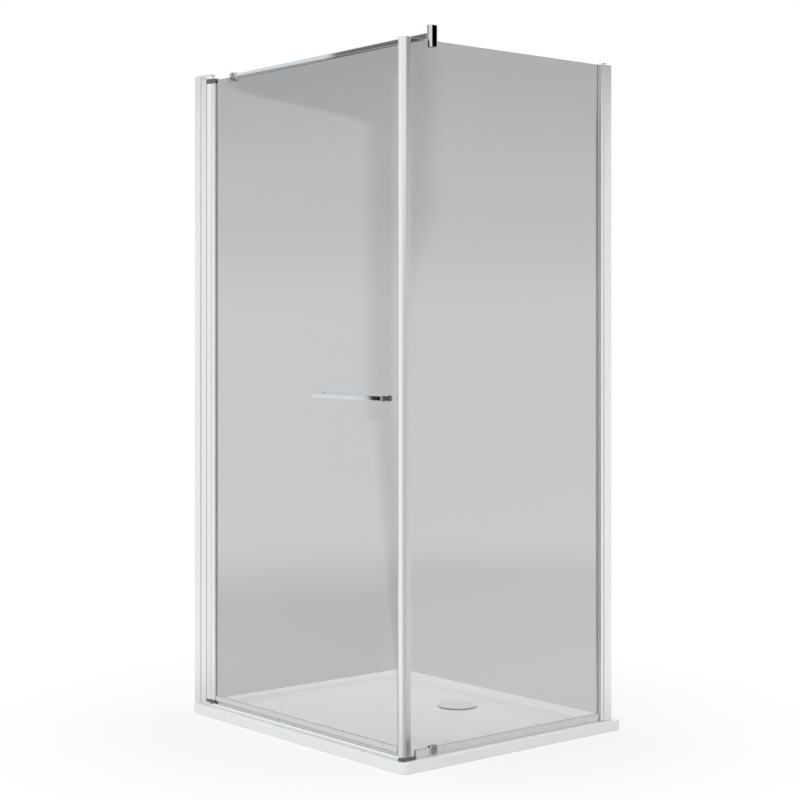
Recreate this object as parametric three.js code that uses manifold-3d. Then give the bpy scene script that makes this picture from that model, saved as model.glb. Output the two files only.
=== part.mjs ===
// A corner shower enclosure: a hinged glass door on the left, a fixed glass side panel on the
// right, a low tray with a lift-out drain cover, and a stabilising bar over the door.
// Millimetres, +Z up. X runs along the door away from the hinge wall, Y runs from the door
// towards the back wall. The origin lies on the floor, in the middle between the hinge wall
// and the far side of the tray and between the door's side of the tray and the back wall.

import * as THREE from 'three';
import { mergeVertices } from 'three/addons/utils/BufferGeometryUtils.js';
import Module from 'manifold-3d';

const wasm = await Module();
wasm.setup();

// Overall sizes
const trayWidth = 1000;
const enclosureDepth = 800;
const trayHeight = 30;
const enclosureHeight = 1900;
const profileInset = 12;
const glassThickness = 6;

// Clearances
const seatGap = 0.3;
const runningGap = 0.05;
const swingGap = 0.8;
const overrun = 2;

// Facets of round shapes: per half of an arc in an outline, and per turn of a revolved one
const arcSegments = 4;
const noseSegments = 12;
const screwSegments = 12;
const driverSides = 4;
const hexSides = 6;
const boreSegments = 24;
const ringSegments = 36;

// Steps of a rounded edge: one gives a plain bevel
const bevelSteps = 1;
const railRoundSteps = 2;

// Tray; its back strip runs on under the back wall's tiles, behind the panel's channel
const trayPastWall = 32;
const trayCornerRadius = 20;
const trayEdgeRound = 3;
const trayEdgeSteps = 3;
const rimWidth = 42;
const dishDepth = 10;
const dishSlopeWidth = 34;
const dishSlopeSteps = 5;
const dishEdgeSteps = 6;
const dishCornerSteps = 6;
const dishCornerRadius = 60;
const drainFall = 5.5;
const drainFromBackWall = 165;
const undersideRim = 55;
const undersideRib = 14;
const undersidePocketDepth = 6;
const pocketColumns = 6;
const pocketRows = 4;

// Drain fitting
const throatRadius = 40;
const spigotWall = 5;
const spigotFootGap = 1;
const flangeRadius = 56;
const flangeThickness = 2.5;
const flangeBevel = 1;
const ledgeWidth = 3.2;
const ledgeDepth = 3;
const drainGasketThickness = 1.7;
const clampPocketRadius = 62;
const clampPocketDepth = 5;
const locknutRadius = 58;
const locknutThickness = 2.4;
const locknutLugs = 6;
const locknutLugWidth = 12;
const strainerWall = 1.5;
const strainerDepth = 8;
const strainerSlots = 12;
const strainerSlotWidth = 4;
const strainerHubRadius = 11;
const coverRadius = 60;
const coverThickness = 2.4;
const coverCrown = 3;
const coverDomeSteps = 3;
const coverWaterGap = 1.8;
const coverStemRadius = 5;

// Wall channels and the profiles that telescope in them
const channelWidth = 28;
const channelReach = 30;
const channelWall = 1.5;
const frameWall = 1.4;
const frameSetback = 8;
const wallHoleRadius = 2.5;
const fixingHeights = 3;
const fixingEndDistance = 120;
const fixingScrewRadius = 1.75;
const fixingHeadRadius = 3.6;
const fixingHeadThickness = 1.8;
const fixingScrewLength = 9;
const fixingScrewReach = 20;
const screwPortRadius = 3.4;
const screwPortBore = 1.7;

// Door pivot
const pivotReach = 68;
const noseRadius = 14;
const seatRadius = 15;
const pinRadius = 4;
const bushWall = 1.2;
const bushLength = 23;
const pivotTubeWall = 1.9;
const noseWall = 1.8;
const crescentStart = 0.3 * Math.PI;
const crescentEnd = 0.9 * Math.PI;
const bottomBlockHeight = 10;
const topBlockHeight = 10;
const topCapThickness = 4;
const blockNoseRadius = 10;
const thrustFlangeRadius = 9;
const thrustFlangeThickness = 0.8;
const pinFootCover = 3;
const blockScrewRadius = 1.5;
const blockScrewHeadRadius = 3;
const blockScrewHeadThickness = 2;
const blockScrewLength = 22;

// Door leaf
const jawReach = 30;
const jawHalfWidth = 7.5;
const jawSlotDepth = 17;
const slotHalfWidth = 4.9;
const gasketFloor = 1.5;
const gasketLip = 1.3;
const gasketGap = 0.2;
const bottomEndPiece = 9;
const topEndPiece = 14.5;
const endPiecePeg = 8;
const doorGlassBottom = 24;
const doorGlassBelowTop = 15;
const glassArris = 0.6;

// Closing edge
const cornerProfileWidth = 17;
const cornerNoseRadius = 14;
const cornerProfileDepth = 30;
const cornerProfileWall = 1.4;
const cornerSlotSetback = 2;
const magnetGrooveDepth = 3.4;
const magnetGrooveWidth = 11;
const magnetGap = 0.5;
const magnetSealDepth = 7.2;
const magnetSealGrip = 7;
const magnetSealWall = 1.2;
const magnetHeadDepth = 4.5;
const magnetHeadWidth = 10;
const magnetStripChamfer = 0.8;
const cornerCapThickness = 2;
const cornerFootLength = 48;
const cornerFootWidth = 18;
const cornerFootSetback = 1;
const cornerFootTailHeight = 5;
const cornerPegHeight = 12;
const cornerPegWidth = 5;
const cornerPegDepth = 6;

// Threshold and bottom seals
const thresholdHeight = 10;
const thresholdEdgeHeight = 5;
const thresholdWidth = 26;
const thresholdChamfer = 6;
const thresholdWall = 1.6;
const sealWall = 1.8;
const sealBody = 5.8;
const sealGrip = 9;
const sideSealGrip = 13;
const sealLipThickness = 1.6;
const sealLipSpread = 3;
const sideGlassBottom = 10;

// Door handle
const handleHeight = 950;
const handleLength = 300;
const handleRailHeight = 16;
const handleRailThickness = 12;
const handleStandoff = 27;
const handleFromGlassEdge = 37;
const handlePostWidth = 16;
const handleWasherRadius = 8;
const handleWasherThickness = 1;
const handleBoltRadius = 2.5;
const handleGlassHoleRadius = 6;
const handleCapRadius = 9;
const handleCapThickness = 5;
const handleEdgeRound = 1.2;
const handleThreadDepth = 12;
const handleSocketRadius = 2;
const handleSocketDepth = 2;

// Side frame profile
const sideReach = 42;
const sideSlotDepth = 10;
const capButtonLength = 17;
const capButtonWidth = 18;
const capButtonHeight = 6;
const capButtonSetback = 15;
const capButtonRound = 4;
const sideChamber = 7;
const capPegHeight = 10;

// Stabilising bar and its clamp
const clampFromCorner = 109.5;
const clampThickness = 18;
const clampWidth = 28;
const clampSlotHalfWidth = 4.6;
const clampCorner = 6;
const clampRound = 1.2;
const clampRoundSteps = 2;
const bottomClampHeight = 27;
const bottomClampFloor = 8.5;
const topClampBelowGlassTop = 18;
const topClampHeight = 60;
const padThickness = 1.2;
const padInset = 1;
const grubRadius = 2.4;
const grubLength = 3.6;
const grubFromGlassEnd = 9;
const grubHexRadius = 1.2;
const grubHexDepth = 1.6;
const barAboveGlass = 4;
const barHeight = 20;
const barThickness = 14;
const barWall = 1.5;
const barRound = 3;
const barSocketDepth = 13;
const bracketFromDoor = 124;
const bracketEdge = 1;
const bracketReach = 24;
const bracketWidth = 24;
const bracketHeight = 30;
const bracketBack = 6;
const barGrubLength = 12;

// Places that follow from the sizes
const halfGlass = glassThickness / 2;
const halfChannel = channelWidth / 2;
const frameWidth = channelWidth - 2 * (channelWall + seatGap);
const halfFrame = frameWidth / 2;
const doorPlaneY = -enclosureDepth / 2 + profileInset + halfChannel;
const sidePlaneX = trayWidth / 2 - profileInset - halfChannel;
const wallX = -trayWidth / 2;
const wallY = enclosureDepth / 2;
const trayBackY = wallY + trayPastWall;
const rimZ = trayHeight;
const topZ = rimZ + enclosureHeight;
const pivotX = wallX + pivotReach;
const webReach = channelReach + frameWall;
const portReach = webReach + frameWall + screwPortRadius - screwPortBore / 2;

// Materials
const whiteAcrylic = finish(0xf3f4f5, 0.25, 0);
const satinAluminium = finish(0xd4d6d8, 0.35, 0.9);
const chromePlate = finish(0xc9ccd0, 0.08, 1);
const stainlessSteel = finish(0xaeb1b4, 0.3, 1);
const blackPlastic = finish(0x1b1b1d, 0.5, 0);
const darkRubber = finish(0x3a3c3f, 0.7, 0);
const clearSeal = finish(0xaab0b4, 0.3, 0);
const whiteAcetal = finish(0xe6e6e2, 0.4, 0);
const clearGlass = finish(0xc9d2d2, 0.05, 0);
clearGlass.transparent = true;
clearGlass.opacity = 0.35;

const enclosure = new THREE.Group();
const hingeSide = new THREE.Group();
hingeSide.position.set(wallX, doorPlaneY, 0);
const doorLeaf = new THREE.Group();
doorLeaf.position.set(pivotX, doorPlaneY, 0);
const panelSide = new THREE.Group();
panelSide.position.set(sidePlaneX, wallY, 0);
panelSide.rotation.z = -Math.PI / 2;
enclosure.add(hingeSide, doorLeaf, panelSide);

function finish(color, roughness, metalness) {
  return new THREE.MeshStandardMaterial({ color, roughness, metalness });
}

function place(name, geometry, material, parent = enclosure) {
  const mesh = new THREE.Mesh(geometry, material);
  mesh.name = name;
  parent.add(mesh);
  return mesh;
}

// A closed solid from a geometry, for joins and cuts
function solid(geometry) {
  const bare = geometry.clone();
  bare.deleteAttribute('normal');
  bare.deleteAttribute('uv');
  const merged = mergeVertices(bare);
  const corners = merged.index.array;
  const triangles = [];
  for (let i = 0; i < corners.length; i += 3) {
    const [a, b, c] = corners.slice(i, i + 3);
    if (a !== b && b !== c && c !== a) triangles.push(a, b, c);
  }
  return new wasm.Manifold(new wasm.Mesh({
    numProp: 3,
    vertProperties: new Float32Array(merged.attributes.position.array),
    triVerts: new Uint32Array(triangles),
  }));
}

function geometryOf(shape) {
  const mesh = shape.getMesh();
  const geometry = new THREE.BufferGeometry();
  geometry.setAttribute('position', new THREE.BufferAttribute(mesh.vertProperties, 3));
  geometry.setIndex(new THREE.BufferAttribute(mesh.triVerts, 1));
  const flat = geometry.toNonIndexed();
  flat.computeVertexNormals();
  return flat;
}

function join(...geometries) {
  const solids = geometries.map(solid);
  return geometryOf(solids.reduce((sum, next) => sum.add(next)));
}

function cut(geometry, ...tools) {
  const cutters = tools.map(solid);
  return geometryOf(cutters.reduce((rest, next) => rest.subtract(next), solid(geometry)));
}

// Extrusions along the three axes; the outline of each is drawn in the two axes that follow it
function upright(shape, bottom, top, segments = arcSegments) {
  const options = { depth: top - bottom, bevelEnabled: false, curveSegments: segments };
  return new THREE.ExtrudeGeometry(shape, options).translate(0, 0, bottom);
}

const axisX = new THREE.Vector3(1, 0, 0);
const axisY = new THREE.Vector3(0, 1, 0);
const axisZ = new THREE.Vector3(0, 0, 1);

function turnAlongX(geometry) {
  return geometry.applyMatrix4(new THREE.Matrix4().makeBasis(axisY, axisZ, axisX));
}

function turnAlongY(geometry) {
  return geometry.applyMatrix4(new THREE.Matrix4().makeBasis(axisZ, axisX, axisY));
}

function alongX(shape, from, to, segments = arcSegments) {
  return turnAlongX(upright(shape, from, to, segments));
}

function alongY(shape, from, to, segments = arcSegments) {
  return turnAlongY(upright(shape, from, to, segments));
}

// An extrusion with chambers that run through it
function hollow(shape, chambers, bottom, top, segments = arcSegments) {
  const cores = chambers.map((core) => upright(core, bottom - overrun, top + overrun, segments));
  return cut(upright(shape, bottom, top, segments), ...cores);
}

// An extrusion whose end edges are rounded or bevelled within its size
function eased(shape, from, to, edge, steps, segments = arcSegments) {
  const options = {
    depth: to - from - 2 * edge,
    bevelEnabled: true,
    bevelThickness: edge,
    bevelSize: edge,
    bevelOffset: -edge,
    bevelSegments: steps,
    curveSegments: segments,
  };
  return new THREE.ExtrudeGeometry(shape, options).translate(0, 0, from + edge);
}

function outline(points) {
  const shape = new THREE.Shape();
  points.forEach(([x, y], i) => (i ? shape.lineTo(x, y) : shape.moveTo(x, y)));
  shape.closePath();
  return shape;
}

function rectangle(left, low, right, high) {
  return outline([[left, low], [right, low], [right, high], [left, high]]);
}

function roundedRectangle(left, low, right, high, radius) {
  const shape = new THREE.Shape();
  shape.absarc(right - radius, low + radius, radius, -Math.PI / 2, 0, false);
  shape.absarc(right - radius, high - radius, radius, 0, Math.PI / 2, false);
  shape.absarc(left + radius, high - radius, radius, Math.PI / 2, Math.PI, false);
  shape.absarc(left + radius, low + radius, radius, Math.PI, 1.5 * Math.PI, false);
  return shape;
}

function block(left, front, low, right, back, high) {
  return upright(rectangle(left, front, right, back), low, high);
}

function disc(x, y, radius, bottom, top, segments = boreSegments) {
  const height = top - bottom;
  const geometry = new THREE.CylinderGeometry(radius, radius, height, segments);
  return geometry.rotateX(Math.PI / 2).translate(x, y, bottom + height / 2);
}

// Turned about the vertical; a profile of [radius, height] points, closed or from axis to axis
function turned(profile, segments = ringSegments) {
  const points = profile.map(([radius, height]) => new THREE.Vector2(radius, height));
  const geometry = new THREE.LatheGeometry(points, segments).rotateX(Math.PI / 2);
  const area = profile.reduce((sum, [r, z], i) => {
    const [nextR, nextZ] = profile[(i + 1) % profile.length];
    return sum + r * nextZ - nextR * z;
  }, 0);
  if (area < 0) {
    const corners = geometry.index.array;
    for (let i = 0; i < corners.length; i += 3) {
      [corners[i], corners[i + 1]] = [corners[i + 1], corners[i]];
    }
  }
  return geometryOf(solid(geometry));
}

function circle(x, y, radius) {
  const shape = new THREE.Shape();
  shape.absarc(x, y, radius, 0, 2 * Math.PI, false);
  return shape;
}

// Heights of screws spaced evenly along a profile
function fixingLevels() {
  const low = rimZ + fixingEndDistance;
  const pitch = (enclosureHeight - 2 * fixingEndDistance) / (fixingHeights - 1);
  return Array.from({ length: fixingHeights }, (_, i) => low + i * pitch);
}

// Tray: a rounded slab, a shallow dish that falls to the drain, ribs underneath

const drainX = 0;
const drainY = wallY - drainFromBackWall;
const dishFloorZ = rimZ - dishDepth;
const drainFloorZ = dishFloorZ - drainFall;
const spigotRadius = throatRadius + spigotWall;
const recessDepth = drainGasketThickness + flangeThickness;
const drainSeatZ = drainFloorZ - recessDepth;

// A closed ring of points round the dish, at one inset from the enclosure's sides and one height
function dishRing(inset, z) {
  const radius = dishCornerRadius;
  const cornerX = trayWidth / 2 - inset - radius;
  const cornerY = enclosureDepth / 2 - inset - radius;
  const centres = [[cornerX, -cornerY], [cornerX, cornerY], [-cornerX, cornerY], [-cornerX, -cornerY]];
  const steps = dishCornerSteps;
  const ring = [];
  centres.forEach(([x, y], corner) => {
    for (let i = 0; i <= steps; i += 1) {
      const angle = ((corner - 1 + i / steps) * Math.PI) / 2;
      ring.push(new THREE.Vector3(x + radius * Math.cos(angle), y + radius * Math.sin(angle), z));
    }
    const [nextX, nextY] = centres[(corner + 1) % centres.length];
    const start = ring[ring.length - 1];
    for (let i = 1; i < dishEdgeSteps; i += 1) {
      const share = i / dishEdgeSteps;
      ring.push(new THREE.Vector3(start.x + (nextX - x) * share, start.y + (nextY - y) * share, z));
    }
  });
  return ring;
}

function drainRing(ring, radius, z) {
  return ring.map((p) => {
    const angle = Math.atan2(p.y - drainY, p.x - drainX);
    const x = drainX + radius * Math.cos(angle);
    const y = drainY + radius * Math.sin(angle);
    return new THREE.Vector3(x, y, z);
  });
}

// A solid through rings of equally many points, closed by a fan at each end
function loft(rings) {
  const count = rings[0].length;
  const positions = [];
  rings.forEach((ring) => ring.forEach((p) => positions.push(p.x, p.y, p.z)));
  const index = [];
  for (let r = 0; r + 1 < rings.length; r += 1) {
    for (let i = 0; i < count; i += 1) {
      const here = r * count + i;
      const next = r * count + ((i + 1) % count);
      index.push(here, next, next + count, here, next + count, here + count);
    }
  }
  const last = rings.length - 1;
  [0, last].forEach((r) => {
    const hub = positions.length / 3;
    const z = rings[r][0].z;
    positions.push(drainX, drainY, z);
    for (let i = 0; i < count; i += 1) {
      const here = r * count + i;
      const next = r * count + ((i + 1) % count);
      if (r === 0) index.push(hub, next, here);
      else index.push(hub, here, next);
    }
  });
  const geometry = new THREE.BufferGeometry();
  geometry.setAttribute('position', new THREE.Float32BufferAttribute(positions, 3));
  geometry.setIndex(index);
  return geometry;
}

function dish() {
  const floor = dishRing(rimWidth + dishSlopeWidth, dishFloorZ);
  const rings = [drainRing(floor, coverRadius, drainFloorZ), floor];
  for (let i = dishSlopeSteps - 1; i >= 0; i -= 1) {
    const share = i / dishSlopeSteps;
    const drop = (dishDepth * (1 - Math.cos(Math.PI * share))) / 2;
    rings.push(dishRing(rimWidth + dishSlopeWidth * share, rimZ - drop));
  }
  rings.push(dishRing(rimWidth, rimZ + overrun));
  return loft(rings);
}

function trayPockets() {
  const left = wallX + undersideRim;
  const front = -enclosureDepth / 2 + undersideRim;
  const pitchX = (-2 * left + undersideRib) / pocketColumns;
  const pitchY = (trayBackY - undersideRim - front + undersideRib) / pocketRows;
  const pockets = [];
  for (let column = 0; column < pocketColumns; column += 1) {
    for (let row = 0; row < pocketRows; row += 1) {
      const x = left + column * pitchX;
      const y = front + row * pitchY;
      const right = x + pitchX - undersideRib;
      const back = y + pitchY - undersideRib;
      const nearX = Math.min(Math.max(drainX, x), right);
      const nearY = Math.min(Math.max(drainY, y), back);
      const distance = Math.hypot(nearX - drainX, nearY - drainY);
      if (distance > clampPocketRadius + undersideRib) {
        pockets.push(block(x, y, -overrun, right, back, undersidePocketDepth));
      }
    }
  }
  return pockets;
}

function showerTray() {
  const plan = roundedRectangle(wallX, -wallY, -wallX, trayBackY, trayCornerRadius);
  const slab = eased(plan, 0, trayHeight, trayEdgeRound, trayEdgeSteps);
  return cut(
    slab,
    dish(),
    disc(drainX, drainY, flangeRadius + seatGap, drainSeatZ, rimZ, ringSegments),
    disc(drainX, drainY, spigotRadius + seatGap, -overrun, rimZ, ringSegments),
    disc(drainX, drainY, clampPocketRadius, -overrun, clampPocketDepth, ringSegments),
    ...trayPockets(),
  );
}

place('shower_tray', showerTray(), whiteAcrylic);

// Drain: flange and gasket above, gasket and locknut below, a lift-out strainer and its cover

const drain = new THREE.Group();
drain.position.set(drainX, drainY, 0);
enclosure.add(drain);

const flangeZ = drainSeatZ + drainGasketThickness;
const flangeTopZ = flangeZ + flangeThickness;
const ledgeRadius = throatRadius + ledgeWidth;
const ledgeZ = flangeTopZ - ledgeDepth;

function ringBetween(inner, outer, bottom, top, segments = ringSegments) {
  const profile = [[inner, bottom], [outer, bottom], [outer, top], [inner, top], [inner, bottom]];
  return turned(profile, segments);
}

function drainFlange() {
  return turned([
    [throatRadius, spigotFootGap],
    [spigotRadius, spigotFootGap],
    [spigotRadius, flangeZ],
    [flangeRadius, flangeZ],
    [flangeRadius, flangeTopZ - flangeBevel],
    [flangeRadius - flangeBevel, flangeTopZ],
    [ledgeRadius, flangeTopZ],
    [ledgeRadius, ledgeZ],
    [throatRadius, ledgeZ],
    [throatRadius, spigotFootGap],
  ]);
}

function drainLocknut() {
  const top = clampPocketDepth - drainGasketThickness;
  const bottom = top - locknutThickness;
  const ring = ringBetween(spigotRadius + seatGap, locknutRadius, bottom, top);
  const notches = [];
  for (let i = 0; i < locknutLugs; i += 1) {
    const half = locknutLugWidth / 2;
    const inner = locknutRadius - spigotWall;
    const notch = block(inner, -half, bottom - overrun, locknutRadius + overrun, half, rimZ);
    notches.push(notch.rotateZ((2 * Math.PI * i) / locknutLugs));
  }
  return cut(ring, ...notches);
}

// The strainer cup hangs by its rim on the flange's ledge and has radial slots in its floor
const strainerRimRadius = ledgeRadius - seatGap;
const strainerCupRadius = throatRadius - seatGap;
const strainerFloorZ = ledgeZ + strainerWall - strainerDepth;

function drainStrainer() {
  const rimTop = ledgeZ + strainerWall;
  const cup = turned([
    [0, strainerFloorZ],
    [strainerCupRadius, strainerFloorZ],
    [strainerCupRadius, ledgeZ],
    [strainerRimRadius, ledgeZ],
    [strainerRimRadius, rimTop],
    [strainerCupRadius - strainerWall, rimTop],
    [strainerCupRadius - strainerWall, strainerFloorZ + strainerWall],
    [0, strainerFloorZ + strainerWall],
  ]);
  const slots = [];
  for (let i = 0; i < strainerSlots; i += 1) {
    const half = strainerSlotWidth / 2;
    const outer = strainerCupRadius - 2 * strainerWall;
    const low = strainerFloorZ - overrun;
    const slot = block(strainerHubRadius, -half, low, outer, half, ledgeZ);
    slots.push(slot.rotateZ((2 * Math.PI * i) / strainerSlots));
  }
  return cut(cup, ...slots);
}

function drainCover() {
  const edgeBottom = flangeTopZ + coverWaterGap;
  const edgeTop = edgeBottom + coverThickness;
  const stemFoot = strainerFloorZ + strainerWall;
  const dome = (radius) => coverCrown * (1 - (radius / coverRadius) ** 2);
  const profile = [
    [0, stemFoot],
    [coverStemRadius, stemFoot],
  ];
  const steps = coverDomeSteps;
  for (let i = 0; i <= steps; i += 1) {
    const radius = coverStemRadius + ((coverRadius - coverStemRadius) * i) / steps;
    profile.push([radius, edgeBottom + dome(radius)]);
  }
  for (let i = steps; i >= 0; i -= 1) {
    const radius = (coverRadius * i) / steps;
    profile.push([radius, edgeTop + dome(radius)]);
  }
  return turned(profile);
}

const lowerGasketBottom = clampPocketDepth - drainGasketThickness;
const upperGasket = ringBetween(spigotRadius + seatGap, flangeRadius, drainSeatZ, flangeZ);
const lowerGasket = ringBetween(
  spigotRadius + seatGap,
  locknutRadius,
  lowerGasketBottom,
  clampPocketDepth,
);
place('drain_flange', drainFlange(), chromePlate, drain);
place('drain_upper_gasket', upperGasket, darkRubber, drain);
place('drain_lower_gasket', lowerGasket, darkRubber, drain);
place('drain_locknut', drainLocknut(), whiteAcetal, drain);
place('drain_strainer', drainStrainer(), whiteAcetal, drain);
place('drain_cover', drainCover(), whiteAcrylic, drain);

// Wall channels: x is the distance from the wall, and inner is +1 or -1 towards the inside

function wallChannel(inner) {
  const half = halfChannel;
  const clear = half - channelWall;
  const section = outline([
    [0, -half],
    [channelReach, -half],
    [channelReach, -clear],
    [channelWall, -clear],
    [channelWall, clear],
    [channelReach, clear],
    [channelReach, half],
    [0, half],
  ]);
  const wallHoles = fixingLevels().map((z) => wallHole(z + fixingEndDistance / 2));
  const sideHoles = fixingLevels().map((z) => sideHole(inner, z));
  return cut(upright(section, rimZ, topZ), ...wallHoles, ...sideHoles);
}

function wallHole(z) {
  const hole = new THREE.CylinderGeometry(wallHoleRadius, wallHoleRadius, channelReach, screwSegments);
  return hole.rotateZ(Math.PI / 2).translate(0, 0, z);
}

function sideHole(inner, z) {
  const radius = fixingScrewRadius + seatGap;
  const hole = new THREE.CylinderGeometry(radius, radius, channelWidth, screwSegments);
  return hole.translate(fixingScrewReach, inner * halfChannel, z);
}

// The adjusting screws: a head on the channel's inner side, a shank through both profiles
function placeAdjustingScrews(name, inner, parent) {
  fixingLevels().forEach((z, level) => {
    const head = disc(0, 0, fixingHeadRadius, 0, fixingHeadThickness, screwSegments);
    const shank = disc(0, 0, fixingScrewRadius, -fixingScrewLength, overrun / 2, screwSegments);
    const driver = disc(0, 0, fixingScrewRadius / 2, fixingHeadThickness / 2, overrun * 2, driverSides);
    const screw = cut(join(head, shank), driver).rotateX((-inner * Math.PI) / 2);
    screw.translate(fixingScrewReach, inner * halfChannel, z);
    place(`${name}_${level + 1}`, screw, stainlessSteel, parent);
  });
}

// Hinge side: the frame profile ends in a round seat that the door profile's nose turns in

const blockTopZ = rimZ + bottomBlockHeight;
const frameTopZ = topZ - topBlockHeight;

function hingeFrameSection() {
  const mouth = Math.asin(halfFrame / seatRadius);
  const shape = new THREE.Shape();
  shape.absarc(pivotReach, 0, seatRadius, Math.PI + mouth, Math.PI - mouth, true);
  shape.lineTo(frameSetback, halfFrame);
  shape.lineTo(frameSetback, -halfFrame);
  shape.closePath();
  return shape;
}

function hingeFrameChambers() {
  const clear = halfFrame - frameWall;
  const liner = seatRadius + frameWall;
  const linerMouth = Math.asin(clear / liner);
  const front = new THREE.Shape();
  front.absarc(pivotReach, 0, liner, Math.PI + linerMouth, Math.PI - linerMouth, true);
  front.lineTo(webReach + frameWall, clear);
  front.lineTo(webReach + frameWall, -clear);
  front.closePath();
  return [rectangle(frameSetback + frameWall, -clear, webReach, clear), front];
}

function screwPort(bottom, top) {
  return disc(portReach, 0, screwPortRadius, bottom, top, screwSegments);
}

function portBore(bottom, top) {
  return disc(portReach, 0, screwPortBore, bottom - overrun, top + overrun, screwSegments);
}

function hingeFrame() {
  const bottom = blockTopZ + seatGap;
  const profile = hollow(hingeFrameSection(), hingeFrameChambers(), bottom, frameTopZ);
  const screws = fixingLevels().map((z) => sideHole(1, z));
  return cut(join(profile, screwPort(bottom, frameTopZ)), portBore(bottom, frameTopZ), ...screws);
}

place('hinge_wall_channel', wallChannel(1), satinAluminium, hingeSide);
place('hinge_frame_profile', hingeFrame(), satinAluminium, hingeSide);
placeAdjustingScrews('hinge_adjusting_screw', 1, hingeSide);

// Pivot blocks sit in the channel at both ends of the frame profile and carry the pins

function blockPlan() {
  const shape = new THREE.Shape();
  shape.absarc(pivotReach, 0, blockNoseRadius, -Math.PI / 2, Math.PI / 2, false);
  shape.lineTo(pivotReach - noseRadius, halfFrame);
  shape.lineTo(frameSetback, halfFrame);
  shape.lineTo(frameSetback, -halfFrame);
  shape.lineTo(pivotReach - noseRadius, -halfFrame);
  shape.closePath();
  return shape;
}

function capPlan() {
  const shape = new THREE.Shape();
  shape.absarc(pivotReach, 0, halfChannel, -Math.PI / 2, Math.PI / 2, false);
  shape.lineTo(0, halfChannel);
  shape.lineTo(0, -halfChannel);
  shape.closePath();
  return shape;
}

const pinBore = pinRadius + runningGap;
const topCapZ = topZ + seatGap;
const topBlockZ = frameTopZ + seatGap;
const topBlockTopZ = topCapZ + topCapThickness;
const bottomPinTopZ = blockTopZ + bushLength;
const topPinBottomZ = topBlockZ - bushLength;

function pivotBlockBottom() {
  return cut(
    upright(blockPlan(), rimZ, blockTopZ),
    disc(pivotReach, 0, pinBore, rimZ + pinFootCover, blockTopZ + overrun),
    disc(portReach, 0, blockScrewRadius + seatGap, rimZ - overrun, blockTopZ + overrun, screwSegments),
    screwHeadBore(rimZ - overrun, rimZ + seatGap + blockScrewHeadThickness),
  );
}

function screwHeadBore(bottom, top) {
  return disc(portReach, 0, blockScrewHeadRadius + seatGap, bottom, top, screwSegments);
}

function pivotBlockTop() {
  const headSeat = topBlockTopZ - blockScrewHeadThickness;
  return cut(
    join(
      upright(blockPlan(), topBlockZ, topBlockTopZ - overrun),
      eased(capPlan(), topCapZ, topBlockTopZ, topCapThickness / 4, bevelSteps),
    ),
    disc(pivotReach, 0, pinBore, topBlockZ - overrun, topBlockTopZ - pinFootCover),
    disc(portReach, 0, blockScrewRadius + seatGap, topBlockZ - overrun, topBlockTopZ, screwSegments),
    screwHeadBore(headSeat, topBlockTopZ + overrun),
  );
}

// A screw that holds a block in the frame profile's port; up is the way that its tip points
function blockScrew(headZ, up) {
  const head = disc(0, 0, blockScrewHeadRadius, 0, blockScrewHeadThickness, screwSegments);
  const shank = disc(0, 0, blockScrewRadius, 0, blockScrewLength, screwSegments);
  const driver = disc(0, 0, blockScrewRadius / 2, -overrun, blockScrewHeadThickness / 2, driverSides);
  const screw = cut(join(head, shank), driver);
  return (up ? screw : screw.rotateX(Math.PI)).translate(portReach, 0, headZ);
}

const bottomPin = disc(pivotReach, 0, pinRadius, rimZ + pinFootCover, bottomPinTopZ);
const topPin = disc(pivotReach, 0, pinRadius, topPinBottomZ, topBlockTopZ - pinFootCover);
place('pivot_block_bottom', pivotBlockBottom(), satinAluminium, hingeSide);
place('pivot_block_top', pivotBlockTop(), satinAluminium, hingeSide);
place('pivot_block_screw_bottom', blockScrew(rimZ + seatGap, true), stainlessSteel, hingeSide);
place('pivot_block_screw_top', blockScrew(topBlockTopZ, false), stainlessSteel, hingeSide);
place('pivot_pin_bottom', bottomPin, stainlessSteel, hingeSide);
place('pivot_pin_top', topPin, stainlessSteel, hingeSide);

// Door leaf, drawn about the pivot: the profile's nose, its hollow chambers and glazing jaw

const bushRadius = pinBore + bushWall;
const pivotBoreRadius = bushRadius + seatGap;
const tubeRadius = pivotBoreRadius + pivotTubeWall;
const doorBottomZ = blockTopZ + thrustFlangeThickness + seatGap;
const doorProfileBottomZ = doorBottomZ + bottomEndPiece;
const doorTopZ = topBlockZ - swingGap;
const doorProfileTopZ = doorTopZ - topEndPiece;
const doorGlassBottomZ = rimZ + doorGlassBottom;
const doorGlassTopZ = topZ - doorGlassBelowTop;
const slotBottomReach = jawReach - jawSlotDepth;

function noseOutline(slotted) {
  const neck = Math.asin(jawHalfWidth / noseRadius);
  const shape = new THREE.Shape();
  shape.absarc(0, 0, noseRadius, neck, 2 * Math.PI - neck, false);
  shape.lineTo(jawReach, -jawHalfWidth);
  if (slotted) {
    shape.lineTo(jawReach, -slotHalfWidth);
    shape.lineTo(slotBottomReach, -slotHalfWidth);
    shape.lineTo(slotBottomReach, slotHalfWidth);
    shape.lineTo(jawReach, slotHalfWidth);
  }
  shape.lineTo(jawReach, jawHalfWidth);
  shape.closePath();
  return shape;
}

// One of the two chambers between the nose wall and the tube round the pin
function crescent(side, shrink) {
  const outer = noseRadius - noseWall - shrink;
  const inner = tubeRadius + shrink;
  const path = new THREE.Shape();
  const start = crescentStart + shrink / inner;
  const end = crescentEnd - shrink / inner;
  path.absarc(0, 0, outer, side * start, side * end, side < 0);
  path.absarc(0, 0, inner, side * end, side * start, side > 0);
  path.closePath();
  return path;
}

function doorPivotProfile() {
  const chambers = [circle(0, 0, pivotBoreRadius), crescent(1, 0), crescent(-1, 0)];
  return hollow(noseOutline(true), chambers, doorProfileBottomZ, doorProfileTopZ, noseSegments);
}

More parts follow.
